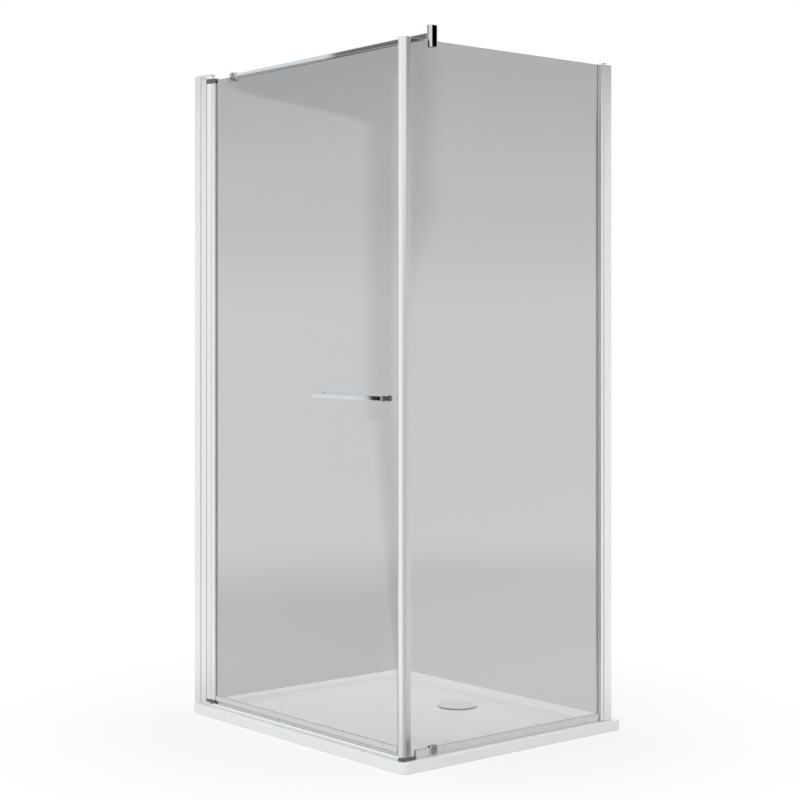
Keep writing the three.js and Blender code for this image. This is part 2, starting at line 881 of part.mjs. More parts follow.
function endPiece(bottom, top, pegFrom, pegTo, ...cuts) {
  const bore = circle(0, 0, pivotBoreRadius);
  const plate = hollow(noseOutline(false), [bore], bottom, top, noseSegments);
  const pegs = [1, -1].map((side) => upright(crescent(side, seatGap), pegFrom, pegTo));
  const whole = join(plate, ...pegs);
  return cuts.length ? cut(whole, ...cuts) : whole;
}

// The lower bush carries the door's weight on a flange that turns on the block
function flangedBush() {
  const top = doorBottomZ + bushLength;
  return turned([
    [pinBore, doorBottomZ - thrustFlangeThickness],
    [thrustFlangeRadius, doorBottomZ - thrustFlangeThickness],
    [thrustFlangeRadius, doorBottomZ],
    [bushRadius, doorBottomZ],
    [bushRadius, top],
    [pinBore, top],
    [pinBore, doorBottomZ - thrustFlangeThickness],
  ], boreSegments);
}

const bottomEnd = endPiece(
  doorBottomZ,
  doorProfileBottomZ,
  doorProfileBottomZ - overrun,
  doorProfileBottomZ + endPiecePeg,
);
const glassNotch = block(
  slotBottomReach,
  -halfGlass - seatGap,
  doorProfileTopZ - overrun,
  jawReach + overrun,
  halfGlass + seatGap,
  doorGlassTopZ + seatGap,
);
const topEnd = endPiece(
  doorProfileTopZ,
  doorTopZ,
  doorProfileTopZ - endPiecePeg,
  doorProfileTopZ + overrun,
  glassNotch,
);
const bottomBush = flangedBush();
const topBush = ringBetween(pinBore, bushRadius, doorTopZ - bushLength, doorTopZ, boreSegments);
place('door_pivot_profile', doorPivotProfile(), satinAluminium, doorLeaf);
place('door_end_piece_bottom', bottomEnd, blackPlastic, doorLeaf);
place('door_end_piece_top', topEnd, blackPlastic, doorLeaf);
place('pivot_bush_bottom', bottomBush, whiteAcetal, doorLeaf);
place('pivot_bush_top', topBush, whiteAcetal, doorLeaf);

// Glazing gasket: a U round the glass edge; the slot opens along +x from its bottom at zero
function gasketSection(slotDepth) {
  const outer = slotHalfWidth - gasketGap;
  const inner = halfGlass + gasketGap;
  const mouth = slotDepth + gasketLip;
  return outline([
    [gasketGap, -outer],
    [slotDepth, -outer],
    [mouth, -inner - gasketGap],
    [mouth, -inner],
    [gasketGap + gasketFloor, -inner],
    [gasketGap + gasketFloor, inner],
    [mouth, inner],
    [mouth, inner + gasketGap],
    [slotDepth, outer],
    [gasketGap, outer],
  ]);
}

const glassSetIn = 2 * gasketGap + gasketFloor;
const doorGasketBottomZ = doorGlassBottomZ;
const doorGasket = upright(gasketSection(jawSlotDepth), doorGasketBottomZ, doorProfileTopZ);
place('door_glazing_gasket', doorGasket.translate(slotBottomReach, 0, 0), clearSeal, doorLeaf);

// Closing edge: the corner profile's place, and from it where the door ends, from the pivot on

const cornerSlotCentre = cornerNoseRadius - cornerProfileWall - slotHalfWidth;
const cornerX = sidePlaneX - cornerSlotCentre;
const cornerLeft = cornerNoseRadius - cornerProfileWidth;
const cornerBack = cornerProfileDepth - cornerNoseRadius;
const doorSealReach = cornerX + cornerLeft - magnetGap - pivotX;
const doorGlassReach = doorSealReach - magnetSealDepth - seatGap;
const handleRight = doorGlassReach - handleFromGlassEdge;
const handleLeft = handleRight - handleLength;
const halfPost = handlePostWidth / 2;
const handlePosts = { left: handleLeft + halfPost, right: handleRight - halfPost };
const handleZ = rimZ + handleHeight;
const sealInner = halfGlass + gasketGap;
const sealOuter = sealInner + sealWall;

// Door glass: one toughened pane from the jaw to the closing edge, drilled for the handle

function doorGlass() {
  const left = slotBottomReach + glassSetIn;
  const pane = rectangle(doorGlassBottomZ, left, doorGlassTopZ, doorGlassReach);
  Object.values(handlePosts).forEach((x) => {
    pane.holes.push(circle(handleZ, x, handleGlassHoleRadius));
  });
  return turnAlongY(eased(pane, -halfGlass, halfGlass, glassArris, bevelSteps, noseSegments));
}

// A clip pushed up over the glass edge, with a lip that wipes over the threshold
function doorBottomSeal() {
  const floorZ = doorGlassBottomZ - gasketGap;
  const footZ = floorZ - sealBody;
  const topEdgeZ = floorZ + sealGrip;
  const lipZ = rimZ + thresholdHeight + swingGap;
  const halfLip = sealLipThickness / 2;
  const section = outline([
    [-sealOuter, footZ],
    [-halfLip, footZ],
    [sealLipSpread - halfLip, lipZ],
    [sealLipSpread + halfLip, lipZ],
    [halfLip, footZ],
    [sealOuter, footZ],
    [sealOuter, topEdgeZ],
    [sealInner, topEdgeZ],
    [sealInner, floorZ],
    [-sealInner, floorZ],
    [-sealInner, topEdgeZ],
    [-sealOuter, topEdgeZ],
  ]);
  const from = jawReach + gasketLip + seatGap;
  return alongX(section, from, doorGlassReach - magnetSealGrip - seatGap);
}

// A clip over the closing edge with the magnet's head towards the corner profile
function doorMagneticSeal() {
  const web = doorSealReach - magnetSealDepth;
  const tip = web - magnetSealGrip;
  const neck = doorSealReach - magnetHeadDepth;
  const leg = sealInner + magnetSealWall;
  const head = magnetHeadWidth / 2;
  const section = outline([
    [tip, -leg],
    [neck - magnetSealWall, -leg],
    [neck, -head],
    [doorSealReach, -head],
    [doorSealReach, head],
    [neck, head],
    [neck - magnetSealWall, leg],
    [tip, leg],
    [tip, sealInner],
    [web, sealInner],
    [web, -sealInner],
    [tip, -sealInner],
  ]);
  return upright(section, doorBottomZ, doorGlassTopZ);
}

place('door_glass', doorGlass(), clearGlass, doorLeaf);
place('door_bottom_seal', doorBottomSeal(), clearSeal, doorLeaf);
place('door_magnetic_seal', doorMagneticSeal(), darkRubber, doorLeaf);

// Handle: a rail with a square post at each end, clamped through the glass by a cap on the
// inside. The profiles below are [radius, distance out from the door's outer face]

const postOuter = handleStandoff - handleRailThickness / 2;
const boltBore = handleBoltRadius + seatGap;
const collarRadius = handleGlassHoleRadius - seatGap;
const sleeveTip = seatGap - glassThickness;
const boltTip = handleWasherThickness + handleThreadDepth;
const capSeat = -glassThickness;
const capFace = capSeat - handleCapThickness;

function handleRail() {
  const half = handleRailHeight / 2;
  const outer = -halfGlass - handleStandoff - handleRailThickness / 2;
  const inner = outer + handleRailThickness;
  const section = roundedRectangle(outer, handleZ - half, inner, handleZ + half, 2 * handleEdgeRound);
  const segments = arcSegments / 2;
  const rail = eased(section, handleLeft, handleRight, handleEdgeRound, railRoundSteps, segments);
  return turnAlongX(rail);
}

function handlePost() {
  const tall = handleRailHeight / 2;
  const plan = roundedRectangle(-halfPost, -tall, halfPost, tall, 2 * handleEdgeRound);
  const post = upright(plan, handleWasherThickness, postOuter, arcSegments / 2);
  return cut(post, disc(0, 0, boltBore, 0, boltTip + seatGap));
}

function throughGlass(geometry, x) {
  return geometry.rotateX(Math.PI / 2).translate(x, -halfGlass, handleZ);
}

const sleeveProfile = [
  [boltBore, sleeveTip],
  [collarRadius, sleeveTip],
  [collarRadius, 0],
  [handleWasherRadius, 0],
  [handleWasherRadius, handleWasherThickness],
  [boltBore, handleWasherThickness],
  [boltBore, sleeveTip],
];
const capProfile = [
  [0, capFace + handleSocketDepth],
  [handleSocketRadius, capFace + handleSocketDepth],
  [handleSocketRadius, capFace],
  [handleCapRadius - handleWasherThickness, capFace],
  [handleCapRadius, capFace + handleWasherThickness],
  [handleCapRadius, capSeat],
  [handleBoltRadius, capSeat],
  [handleBoltRadius, boltTip],
  [0, boltTip],
];
place('handle_rail', handleRail(), chromePlate, doorLeaf);
Object.entries(handlePosts).forEach(([end, x]) => {
  const sleeve = turned(sleeveProfile, boreSegments);
  const cap = turned(capProfile, boreSegments);
  place(`handle_post_${end}`, throughGlass(handlePost(), x), chromePlate, doorLeaf);
  place(`handle_sleeve_${end}`, throughGlass(sleeve, x), clearSeal, doorLeaf);
  place(`handle_inner_cap_${end}`, throughGlass(cap, x), chromePlate, doorLeaf);
});

// Threshold: a low open-bottomed profile under the door, sloped on both sides

function thresholdBar() {
  const front = -halfChannel;
  const back = front + thresholdWidth;
  const top = rimZ + thresholdHeight;
  const edge = rimZ + thresholdEdgeHeight;
  const slope = (top - edge) / thresholdChamfer;
  const innerEdge = edge - thresholdWall * slope + thresholdWall / 2;
  const section = outline([
    [front, rimZ],
    [front + thresholdWall, rimZ],
    [front + thresholdWall, innerEdge],
    [front + thresholdChamfer + thresholdWall / 2, top - thresholdWall],
    [back - thresholdChamfer - thresholdWall / 2, top - thresholdWall],
    [back - thresholdWall, innerEdge],
    [back - thresholdWall, rimZ],
    [back, rimZ],
    [back, edge],
    [back - thresholdChamfer, top],
    [front + thresholdChamfer, top],
    [front, edge],
  ]);
  const from = pivotX + blockNoseRadius + seatGap;
  const to = cornerX + cornerLeft - seatGap;
  return alongX(section, from, to).translate(0, doorPlaneY, 0);
}

place('threshold_bar', thresholdBar(), satinAluminium);

// Corner profile, drawn about the centre of its round nose: a groove for the magnetic strip
// faces the door, and a slot holds the front edge of the side glass

const corner = new THREE.Group();
corner.position.set(cornerX, doorPlaneY, 0);
enclosure.add(corner);

const sideGlassBottomZ = rimZ + sideGlassBottom;
const grooveBack = cornerLeft + magnetGrooveDepth;
const halfGroove = magnetGrooveWidth / 2;
const slotLeft = cornerSlotCentre - slotHalfWidth;
const slotRight = cornerSlotCentre + slotHalfWidth;

function cornerSection() {
  const radius = cornerNoseRadius;
  const shape = new THREE.Shape();
  shape.absarc(0, 0, radius, -Math.PI / 2, 0, false);
  shape.lineTo(radius, cornerBack);
  shape.lineTo(slotRight, cornerBack);
  shape.lineTo(slotRight, cornerSlotSetback);
  shape.lineTo(slotLeft, cornerSlotSetback);
  shape.lineTo(slotLeft, cornerBack);
  shape.lineTo(cornerLeft, cornerBack);
  shape.lineTo(cornerLeft, halfGroove);
  shape.lineTo(grooveBack, halfGroove);
  shape.lineTo(grooveBack, -halfGroove);
  shape.lineTo(cornerLeft, -halfGroove);
  shape.lineTo(cornerLeft, -radius);
  shape.closePath();
  return shape;
}

function cornerChambers() {
  const radius = cornerNoseRadius;
  const wall = cornerProfileWall;
  const front = new THREE.Shape();
  front.absarc(0, 0, radius - wall, -Math.PI / 2, 0, false);
  front.lineTo(radius - wall, cornerSlotSetback - wall);
  front.lineTo(grooveBack + wall, cornerSlotSetback - wall);
  front.lineTo(grooveBack + wall, -halfGroove - wall);
  front.lineTo(cornerLeft + wall, -halfGroove - wall);
  front.lineTo(cornerLeft + wall, wall - radius);
  front.closePath();
  const back = rectangle(
    cornerLeft + wall,
    halfGroove + wall,
    slotLeft - wall,
    cornerBack - wall,
  );
  return [front, back];
}

function cornerPeg(low, high) {
  const left = grooveBack + cornerProfileWall + seatGap;
  const back = cornerSlotSetback - cornerProfileWall - seatGap;
  return block(left, back - cornerPegDepth, low, left + cornerPegWidth, back, high);
}

function cornerCap() {
  const shape = new THREE.Shape();
  shape.absarc(0, 0, cornerNoseRadius, -Math.PI / 2, 0, false);
  shape.lineTo(cornerNoseRadius, cornerBack);
  shape.lineTo(cornerLeft, cornerBack);
  shape.lineTo(cornerLeft, -cornerNoseRadius);
  shape.closePath();
  const top = topZ + cornerCapThickness;
  return join(upright(shape, topZ, top), cornerPeg(topZ - cornerPegHeight, topZ + cornerCapThickness / 2));
}

// The foot on the tray under the corner profile; its tail falls away under the side glass
function cornerFoot() {
  const left = cornerLeft + cornerFootSetback;
  const front = -cornerNoseRadius;
  const top = sideGlassBottomZ - seatGap;
  const right = left + cornerFootWidth;
  const back = front + cornerFootLength;
  const tailZ = rimZ + cornerFootTailHeight;
  const plan = roundedRectangle(left, front, right, back, 2 * cornerFootSetback);
  const fall = outline([
    [cornerBack, top],
    [back, tailZ],
    [back + overrun, tailZ],
    [back + overrun, top + overrun],
    [cornerBack, top + overrun],
  ]);
  const foot = cut(upright(plan, rimZ, top), alongX(fall, left - overrun, right + overrun));
  return join(foot, cornerPeg(rimZ + seatGap, top + cornerPegHeight));
}

function magneticStrip() {
  const half = halfGroove - gasketGap;
  return outline([
    [cornerLeft, -half + magnetStripChamfer],
    [cornerLeft + magnetStripChamfer, -half],
    [grooveBack, -half],
    [grooveBack, half],
    [cornerLeft + magnetStripChamfer, half],
    [cornerLeft, half - magnetStripChamfer],
  ]);
}

const cornerSlotDepth = cornerBack - cornerSlotSetback;
const cornerGasket = upright(gasketSection(cornerSlotDepth), sideGlassBottomZ, topZ);
cornerGasket.rotateZ(Math.PI / 2).translate(cornerSlotCentre, cornerSlotSetback, 0);
const cornerProfile = hollow(cornerSection(), cornerChambers(), sideGlassBottomZ, topZ);
place('corner_profile', cornerProfile, satinAluminium, corner);
place('corner_cap', cornerCap(), satinAluminium, corner);
place('corner_foot', cornerFoot(), blackPlastic, corner);
place('corner_magnetic_strip', upright(magneticStrip(), sideGlassBottomZ, topZ), darkRubber, corner);
place('corner_glazing_gasket', cornerGasket, clearSeal, corner);

// Side frame: the wall channel, the profile that telescopes in it, and the button on its top.
// In this group x is the distance from the back wall and the inside of the shower is at -y

const sideSlotFloor = sideReach - sideSlotDepth;
const sideWeb = sideSlotFloor - 2 * frameWall - sideChamber;

function sideFrameSection() {
  return outline([
    [frameSetback, -halfFrame],
    [sideReach, -halfFrame],
    [sideReach, -slotHalfWidth],
    [sideSlotFloor, -slotHalfWidth],
    [sideSlotFloor, slotHalfWidth],
    [sideReach, slotHalfWidth],
    [sideReach, halfFrame],
    [frameSetback, halfFrame],
  ]);
}

function sideFrameChambers() {
  const clear = halfFrame - frameWall;
  const jaw = slotHalfWidth + frameWall;
  return [
    rectangle(frameSetback + frameWall, -clear, sideWeb, clear),
    rectangle(sideWeb + frameWall, -clear, sideSlotFloor - frameWall, clear),
    rectangle(sideSlotFloor, jaw, sideReach - frameWall, clear),
    rectangle(sideSlotFloor, -clear, sideReach - frameWall, -jaw),
  ];
}

function sideFrame() {
  const screws = fixingLevels().map((z) => sideHole(-1, z));
  return cut(hollow(sideFrameSection(), sideFrameChambers(), rimZ + seatGap, topZ), ...screws);
}

function sideCap() {
  const half = capButtonWidth / 2;
  const right = capButtonSetback + capButtonLength;
  const plan = roundedRectangle(capButtonSetback, -half, right, half, capButtonRound);
  const button = eased(plan, topZ, topZ + capButtonHeight, clampRound, clampRoundSteps);
  const pegHalf = half - 2 * clampRound;
  const low = topZ - capPegHeight;
  const high = topZ + 2 * clampRound;
  const pegLeft = capButtonSetback + 2 * clampRound;
  const wallPeg = block(pegLeft, -pegHalf, low, sideWeb - seatGap, pegHalf, high);
  const webSide = sideWeb + frameWall + seatGap;
  const floorSide = sideSlotFloor - frameWall - seatGap;
  return join(button, wallPeg, block(webSide, -pegHalf, low, floorSide, pegHalf, high));
}

const sideGasket = upright(gasketSection(sideSlotDepth), sideGlassBottomZ, topZ);
place('side_wall_channel', wallChannel(-1), satinAluminium, panelSide);
place('side_frame_profile', sideFrame(), satinAluminium, panelSide);
placeAdjustingScrews('side_adjusting_screw', -1, panelSide);
place('side_profile_cap', sideCap(), satinAluminium, panelSide);
place('side_glazing_gasket', sideGasket.translate(sideSlotFloor, 0, 0), clearSeal, panelSide);

// Side glass and the seals under it, drawn about the glass plane

const clampY = -enclosureDepth / 2 + profileInset + clampFromCorner;
const sideGlassFront = doorPlaneY + cornerSlotSetback + glassSetIn;
const sideGlassBack = wallY - sideSlotFloor - glassSetIn;

function sideGlass() {
  const pane = rectangle(sideGlassFront, sideGlassBottomZ, sideGlassBack, topZ);
  const glass = turnAlongX(eased(pane, -halfGlass, halfGlass, glassArris, bevelSteps));
  return glass.translate(sidePlaneX, 0, 0);
}

function sideSeal(from, to) {
  const footZ = rimZ + seatGap;
  const floorZ = sideGlassBottomZ - gasketGap;
  const topEdgeZ = floorZ + sideSealGrip;
  const section = outline([
    [footZ, -sealOuter],
    [topEdgeZ, -sealOuter],
    [topEdgeZ, -sealInner],
    [floorZ, -sealInner],
    [floorZ, sealInner],
    [topEdgeZ, sealInner],
    [topEdgeZ, sealOuter],
    [footZ, sealOuter],
  ]);
  section.holes.push(rectangle(footZ + sealWall, -sealInner, floorZ - sealWall, sealInner));
  return alongY(section, from, to).translate(sidePlaneX, 0, 0);
}

const cornerFootEnd = doorPlaneY - cornerNoseRadius + cornerFootLength;
const clampFront = clampY - clampWidth / 2;
const clampBack = clampY + clampWidth / 2;
const sideFrameEdge = wallY - sideReach - gasketLip;
place('side_glass', sideGlass(), clearGlass);
place('side_seal_front', sideSeal(cornerFootEnd + seatGap, clampFront - seatGap), clearSeal);
place('side_seal_rear', sideSeal(clampBack + seatGap, sideFrameEdge - seatGap), clearSeal);

// Clamps on the side glass, drawn about the glass plane and the clamps' own centre line

const clamps = new THREE.Group();
clamps.position.set(sidePlaneX, clampY, 0);
enclosure.add(clamps);

const halfClamp = clampThickness / 2;
const halfClampWidth = clampWidth / 2;
const bottomClampTopZ = rimZ + bottomClampHeight;
const bottomSlotZ = rimZ + bottomClampFloor;
const topClampZ = topZ - topClampBelowGlassTop;
const topClampTopZ = topClampZ + topClampHeight;
const topSlotZ = topZ + padThickness + 2 * gasketGap;
const barZ = topZ + barAboveGlass + barHeight / 2;
const grubHole = grubRadius + seatGap;
const bottomGrubZ = (bottomSlotZ + bottomClampTopZ) / 2 + padInset;
const topGrubZ = topZ - grubFromGlassEnd;

function clampBlock(low, high) {
  const plan = roundedRectangle(-halfClamp, -halfClampWidth, halfClamp, halfClampWidth, clampCorner);
  return eased(plan, low, high, clampRound, clampRoundSteps);
}

function clampSlot(low, high) {
  const half = clampSlotHalfWidth;
  return block(-half, -clampWidth, low, half, clampWidth, high);
}

// A hole through the clamp's inner cheek for a grub screw that presses on the glass pad
function cheekHole(z) {
  return disc(0, 0, grubHole, 0, clampThickness, screwSegments).rotateY(-Math.PI / 2).translate(0, 0, z);
}

function grubScrew(length) {
  const socket = disc(0, 0, grubHexRadius, length - grubHexDepth, length + overrun, hexSides);
  return cut(disc(0, 0, grubRadius, 0, length, screwSegments), socket);
}

function cheekGrub(z) {
  return grubScrew(grubLength).rotateY(-Math.PI / 2).translate(-clampSlotHalfWidth - seatGap / 2, 0, z);
}

// A soft lining folded round the glass edge inside a clamp
function clampPads(edgeZ, openZ) {
  const up = Math.sign(openZ - edgeZ);
  const floor = edgeZ - up * gasketGap;
  const foot = floor - up * padThickness;
  const mouth = openZ - up * padInset;
  const outer = sealInner + padThickness;
  const section = outline([
    [foot, -outer],
    [mouth, -outer],
    [mouth, -sealInner],
    [floor, -sealInner],
    [floor, sealInner],
    [mouth, sealInner],
    [mouth, outer],
    [foot, outer],
  ]);
  return alongY(section, padInset - halfClampWidth, halfClampWidth - padInset);
}

// Stabilising bar: a rectangular tube from a wall bracket to the top clamp, turned in plan to
// meet the clamp; its sockets in both are turned with it

const bracketY = doorPlaneY + bracketFromDoor;
const barRun = sidePlaneX - wallX;
const barTurn = Math.atan2(clampY - bracketY, barRun);
const barSpan = Math.hypot(barRun, clampY - bracketY);
const clampSocketStart = barSpan - halfClamp;
const barEnd = clampSocketStart + barSocketDepth - seatGap;
const socketHalfWidth = barThickness / 2 + seatGap;
const socketHalfHeight = barHeight / 2 + seatGap;

function barSection() {
  const halfWidth = barThickness / 2;
  const halfHeight = barHeight / 2;
  const section = roundedRectangle(-halfWidth, -halfHeight, halfWidth, halfHeight, barRound);
  const innerWidth = halfWidth - barWall;
  const innerHeight = halfHeight - barWall;
  const bore = roundedRectangle(-innerWidth, -innerHeight, innerWidth, innerHeight, barRound - barWall);
  section.holes.push(bore);
  return section;
}

function barSocket(from, to) {
  const hole = rectangle(-socketHalfWidth, -socketHalfHeight, socketHalfWidth, socketHalfHeight);
  return alongX(hole, from, to).rotateZ(barTurn);
}

function bottomClamp() {
  return cut(
    clampBlock(rimZ, bottomClampTopZ),
    clampSlot(bottomSlotZ, bottomClampTopZ + overrun),
    cheekHole(bottomGrubZ),
  );
}

function topClamp() {
  const socket = barSocket(clampSocketStart - clampThickness, barEnd + seatGap);
  return cut(
    clampBlock(topClampZ, topClampTopZ),
    clampSlot(topClampZ - overrun, topSlotZ),
    socket.translate(-barRun, bracketY - clampY, barZ),
    cheekHole(topGrubZ),
    disc(-halfClamp / 2, 0, grubHole, barZ, topClampTopZ + overrun, screwSegments),
  );
}

function barGrub() {
  return grubScrew(barGrubLength).translate(-halfClamp / 2, 0, barZ + socketHalfHeight);
}

function wallBracket() {
  const half = bracketWidth / 2;
  const tall = bracketHeight / 2;
  const face = roundedRectangle(-half, -tall, half, tall, 2 * bracketEdge);
  const body = turnAlongX(eased(face, 0, bracketReach, bracketEdge, bevelSteps, arcSegments / 2));
  return cut(
    body,
    barSocket(bracketBack, bracketReach + overrun),
    wallHole(0),
    disc((bracketBack + bracketReach) / 2, 0, grubHole, 0, bracketHeight, screwSegments),
  );
}

place('bottom_clamp', bottomClamp(), chromePlate, clamps);
place('bottom_clamp_pads', clampPads(sideGlassBottomZ, bottomClampTopZ), darkRubber, clamps);
place('bottom_clamp_screw', cheekGrub(bottomGrubZ), stainlessSteel, clamps);
place('top_clamp', topClamp(), chromePlate, clamps);
place('top_clamp_pads', clampPads(topZ, topClampZ), darkRubber, clamps);
place('top_clamp_glass_screw', cheekGrub(topGrubZ), stainlessSteel, clamps);
place('top_clamp_bar_screw', barGrub(), stainlessSteel, clamps);

const stabiliser = new THREE.Group();
stabiliser.position.set(wallX, bracketY, barZ);
enclosure.add(stabiliser);

const bar = alongX(barSection(), bracketBack + seatGap, barEnd).rotateZ(barTurn);
const bracketGrub = grubScrew(grubLength);
bracketGrub.translate((bracketBack + bracketReach) / 2, 0, socketHalfHeight);
place('stabiliser_bar', bar, chromePlate, stabiliser);
place('bar_wall_bracket', wallBracket(), chromePlate, stabiliser);
place('bar_bracket_screw', bracketGrub, stainlessSteel, stabiliser);

export default enclosure;
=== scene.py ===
import math

import bmesh
import bpy
from bpy.props import FloatProperty, FloatVectorProperty, IntProperty, PointerProperty
from mathutils import Matrix, Vector
from mathutils.geometry import tessellate_polygon


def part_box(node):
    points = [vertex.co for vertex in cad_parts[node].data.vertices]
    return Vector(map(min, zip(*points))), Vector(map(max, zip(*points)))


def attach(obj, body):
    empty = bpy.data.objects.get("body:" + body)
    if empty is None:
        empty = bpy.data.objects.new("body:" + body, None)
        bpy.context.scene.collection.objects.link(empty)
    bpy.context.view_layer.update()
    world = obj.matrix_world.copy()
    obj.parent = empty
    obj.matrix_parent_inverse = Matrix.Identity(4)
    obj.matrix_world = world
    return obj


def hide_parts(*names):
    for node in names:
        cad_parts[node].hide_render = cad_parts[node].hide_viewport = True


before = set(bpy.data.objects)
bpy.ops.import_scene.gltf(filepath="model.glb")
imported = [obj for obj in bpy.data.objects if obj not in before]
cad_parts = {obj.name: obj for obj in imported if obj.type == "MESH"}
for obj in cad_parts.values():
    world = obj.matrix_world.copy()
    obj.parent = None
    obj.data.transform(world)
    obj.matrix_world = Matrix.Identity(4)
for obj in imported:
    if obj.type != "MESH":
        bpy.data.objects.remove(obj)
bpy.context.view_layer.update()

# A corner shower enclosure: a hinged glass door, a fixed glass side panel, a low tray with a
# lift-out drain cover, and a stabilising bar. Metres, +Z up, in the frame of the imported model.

bl_info = {
    "name": "Shower enclosure",
    "version": (1, 0, 0),
    "blender": (4, 5, 0),
    "location": "View3D > Sidebar > Enclosure",
    "description": "Builds a corner shower enclosure piece by piece round a packed frame",
    "category": "Add Mesh",
}

MM = 0.001
QUARTER = math.pi / 2

# Angles that part a sharp edge from a curve, and flat faces from each other
SHARP = math.radians(32)
GLASS_SHARP = math.radians(15)
FLAT = math.radians(0.5)
MERGE = 1e-6

# Limits of fillet: points that touch, a corner that is straight, and a side's share for a bend
TOUCHING = 1e-7
STRAIGHT = 0.02
SIDE_SHARE = 0.49

# How near its axis a point of a turned profile counts as on it
ON_AXIS = 1e-9

# Roundings, from the thinnest lip to a full moulded edge
HAIR = 0.08 * MM
CRISP = 0.1 * MM
KEEN = 0.2 * MM
FINE = 0.3 * MM
EASED = 0.4 * MM
SOFT = 0.5 * MM
BLUNT = 0.6 * MM
ROUND = 0.8 * MM
FULL = 1.2 * MM

# Sizes and steps that more than one piece shares
DOOR_SLOT_DEPTH = 17 * MM
SIDE_SLOT_DEPTH = 10 * MM
CORNER_SLOT_DEPTH = 14 * MM
SEAT_GAP = 0.2 * MM
CLEARANCE = 0.3 * MM
DRAIN_STEPS = 96
SPIGOT_RADIUS = 45 * MM
RECESS_RADIUS = 62 * MM
SCREW_REACH = 20 * MM
TAP_RADIUS = 2.05 * MM
WALL_HOLE_RADIUS = 2.5 * MM
DRILL_DEPTH = 6 * MM


def linear(code):
    """Linear colour of an sRGB hex value."""
    channels = [int(code[i:i + 2], 16) / 255 for i in (1, 3, 5)]
    return tuple(c / 12.92 if c <= 0.04045 else ((c + 0.055) / 1.055) ** 2.4 for c in channels)


def length(name, description, default):
    """A size that a user can change, in metres."""
    return FloatProperty(
        name=name, description=description, default=default, min=0.0, unit="LENGTH", precision=4)


def colour(name, description, code):
    """A colour that a user can change."""
    return FloatVectorProperty(
        name=name, description=description, default=linear(code), min=0.0, max=1.0,
        size=3, subtype="COLOR")


# Sizes and colours

class TraySettings(bpy.types.PropertyGroup):
    """The tray and its drain fitting."""
    corner_radius: length("Corner radius", "Radius of the tray's corners in plan", 20 * MM)
    edge_round: length("Edge round", "Rounding of the tray's upper and lower edges", 3 * MM)
    rim_width: length("Rim width", "Width of the flat rim", 42 * MM)
    slope_width: length("Slope width", "Width of the slope from the rim to the floor", 34 * MM)
    dish_depth: length("Dish depth", "Height from the rim to the floor's edge", 10 * MM)
    dish_radius: length("Dish corner radius", "Radius of the dish's corners", 60 * MM)
    drain_fall: length("Drain fall", "Fall of the floor to the drain", 5.5 * MM)
    pocket_rim: length("Underside rim", "Solid edge round the underside", 55 * MM)
    pocket_rib: length("Underside rib", "Width of the ribs under the tray", 14 * MM)
    pocket_depth: length("Pocket depth", "Depth of the pockets between the ribs", 6 * MM)
    pocket_columns: IntProperty(
        name="Pocket columns", description="Pockets along the tray", default=6, min=1)
    pocket_rows: IntProperty(
        name="Pocket rows", description="Pockets across the tray", default=4, min=1)
    cover_crown: length("Cover crown", "Rise of the drain cover's dome", 3 * MM)
    cover_wall: length("Cover wall", "Thickness of the drain cover", 2.4 * MM)
    slots: IntProperty(name="Strainer slots", description="Slots in the strainer", default=12, min=3)
    resin: colour("Tray colour", "White of the gelcoat", "#F3F4F5")
    cover: colour("Cover colour", "White of the drain cover", "#E9EBEC")


class ProfileSettings(bpy.types.PropertyGroup):
    """The extruded profiles on the walls, at the pivot, at the corner and under the door."""
    channel_wall: length("Channel wall", "Wall of the channels on the walls", 1.5 * MM)
    frame_wall: length("Frame wall", "Wall of the hollow profiles", 1.4 * MM)
    edge: length("Die radius", "Radius that the extrusion die leaves on outer edges", 0.5 * MM)
    nose_radius: length("Nose radius", "Radius of the door profile's round nose", 14 * MM)
    seat_radius: length("Seat radius", "Radius of the seat that the nose turns in", 15 * MM)
    glass_slot: length("Glazing slot", "Width of the slots that hold the glass", 9.8 * MM)
    fixing_end: length("First screw", "Height of the first screw over the profile's foot", 120 * MM)
    fixing_count: IntProperty(
        name="Screws", description="Adjusting screws in each profile", default=3, min=1)
    aluminium: colour("Anodised aluminium", "Colour of the profiles", "#ECEEF0")
    chrome: colour("Chrome plate", "Colour of the plated parts", "#D3D6D9")
    steel: colour("Stainless steel", "Colour of screws and pins", "#B9BCBF")


class GlazingSettings(bpy.types.PropertyGroup):
    """The panes and everything soft that holds or seals them."""
    arris: length("Arris", "Width of the ground edge of the glass", 0.6 * MM)
    hole_radius: length("Handle holes", "Radius of the holes for the handle", 6 * MM)
    # Over the glass's own grey tint, the tints at the top and high up add painted shade, and the tint
    # at the foot adds painted light
    tint_painted_shade_top: colour("Tint at the top", "What the glass lets through at its top", "#BDBEBF")
    tint_painted_shade_high: colour("Tint high up", "What it lets through a fifth below its top", "#CCCDCE")
    tint_middle: colour("Tint in the middle", "What it lets through half way up", "#DADBDC")
    tint_painted_light_low: colour("Tint at the foot", "What it lets through at its foot", "#E4E5E6")
    ground: colour("Ground edge", "Colour of the ground edges", "#C8CFCD")
    seal: colour("Seal", "Colour of the clear seals", "#DCDEDF")
    gasket: colour("Gasket", "Colour of the clear glazing gaskets", "#DADCDE")
    rubber: colour("Rubber", "Colour of the clamps' pads and the drain's gaskets", "#4A4D50")


class HandleSettings(bpy.types.PropertyGroup):
    """The door handle."""
    section_radius: length("Section radius", "Rounding of the long edges", 2.4 * MM)
    end_round: length("End round", "Rounding of the rail's ends", 1.2 * MM)
    bolt_radius: length("Bolt radius", "Radius of the bolts through the glass", 2.5 * MM)
    cap_radius: length("Cap radius", "Radius of the caps inside the door", 9 * MM)


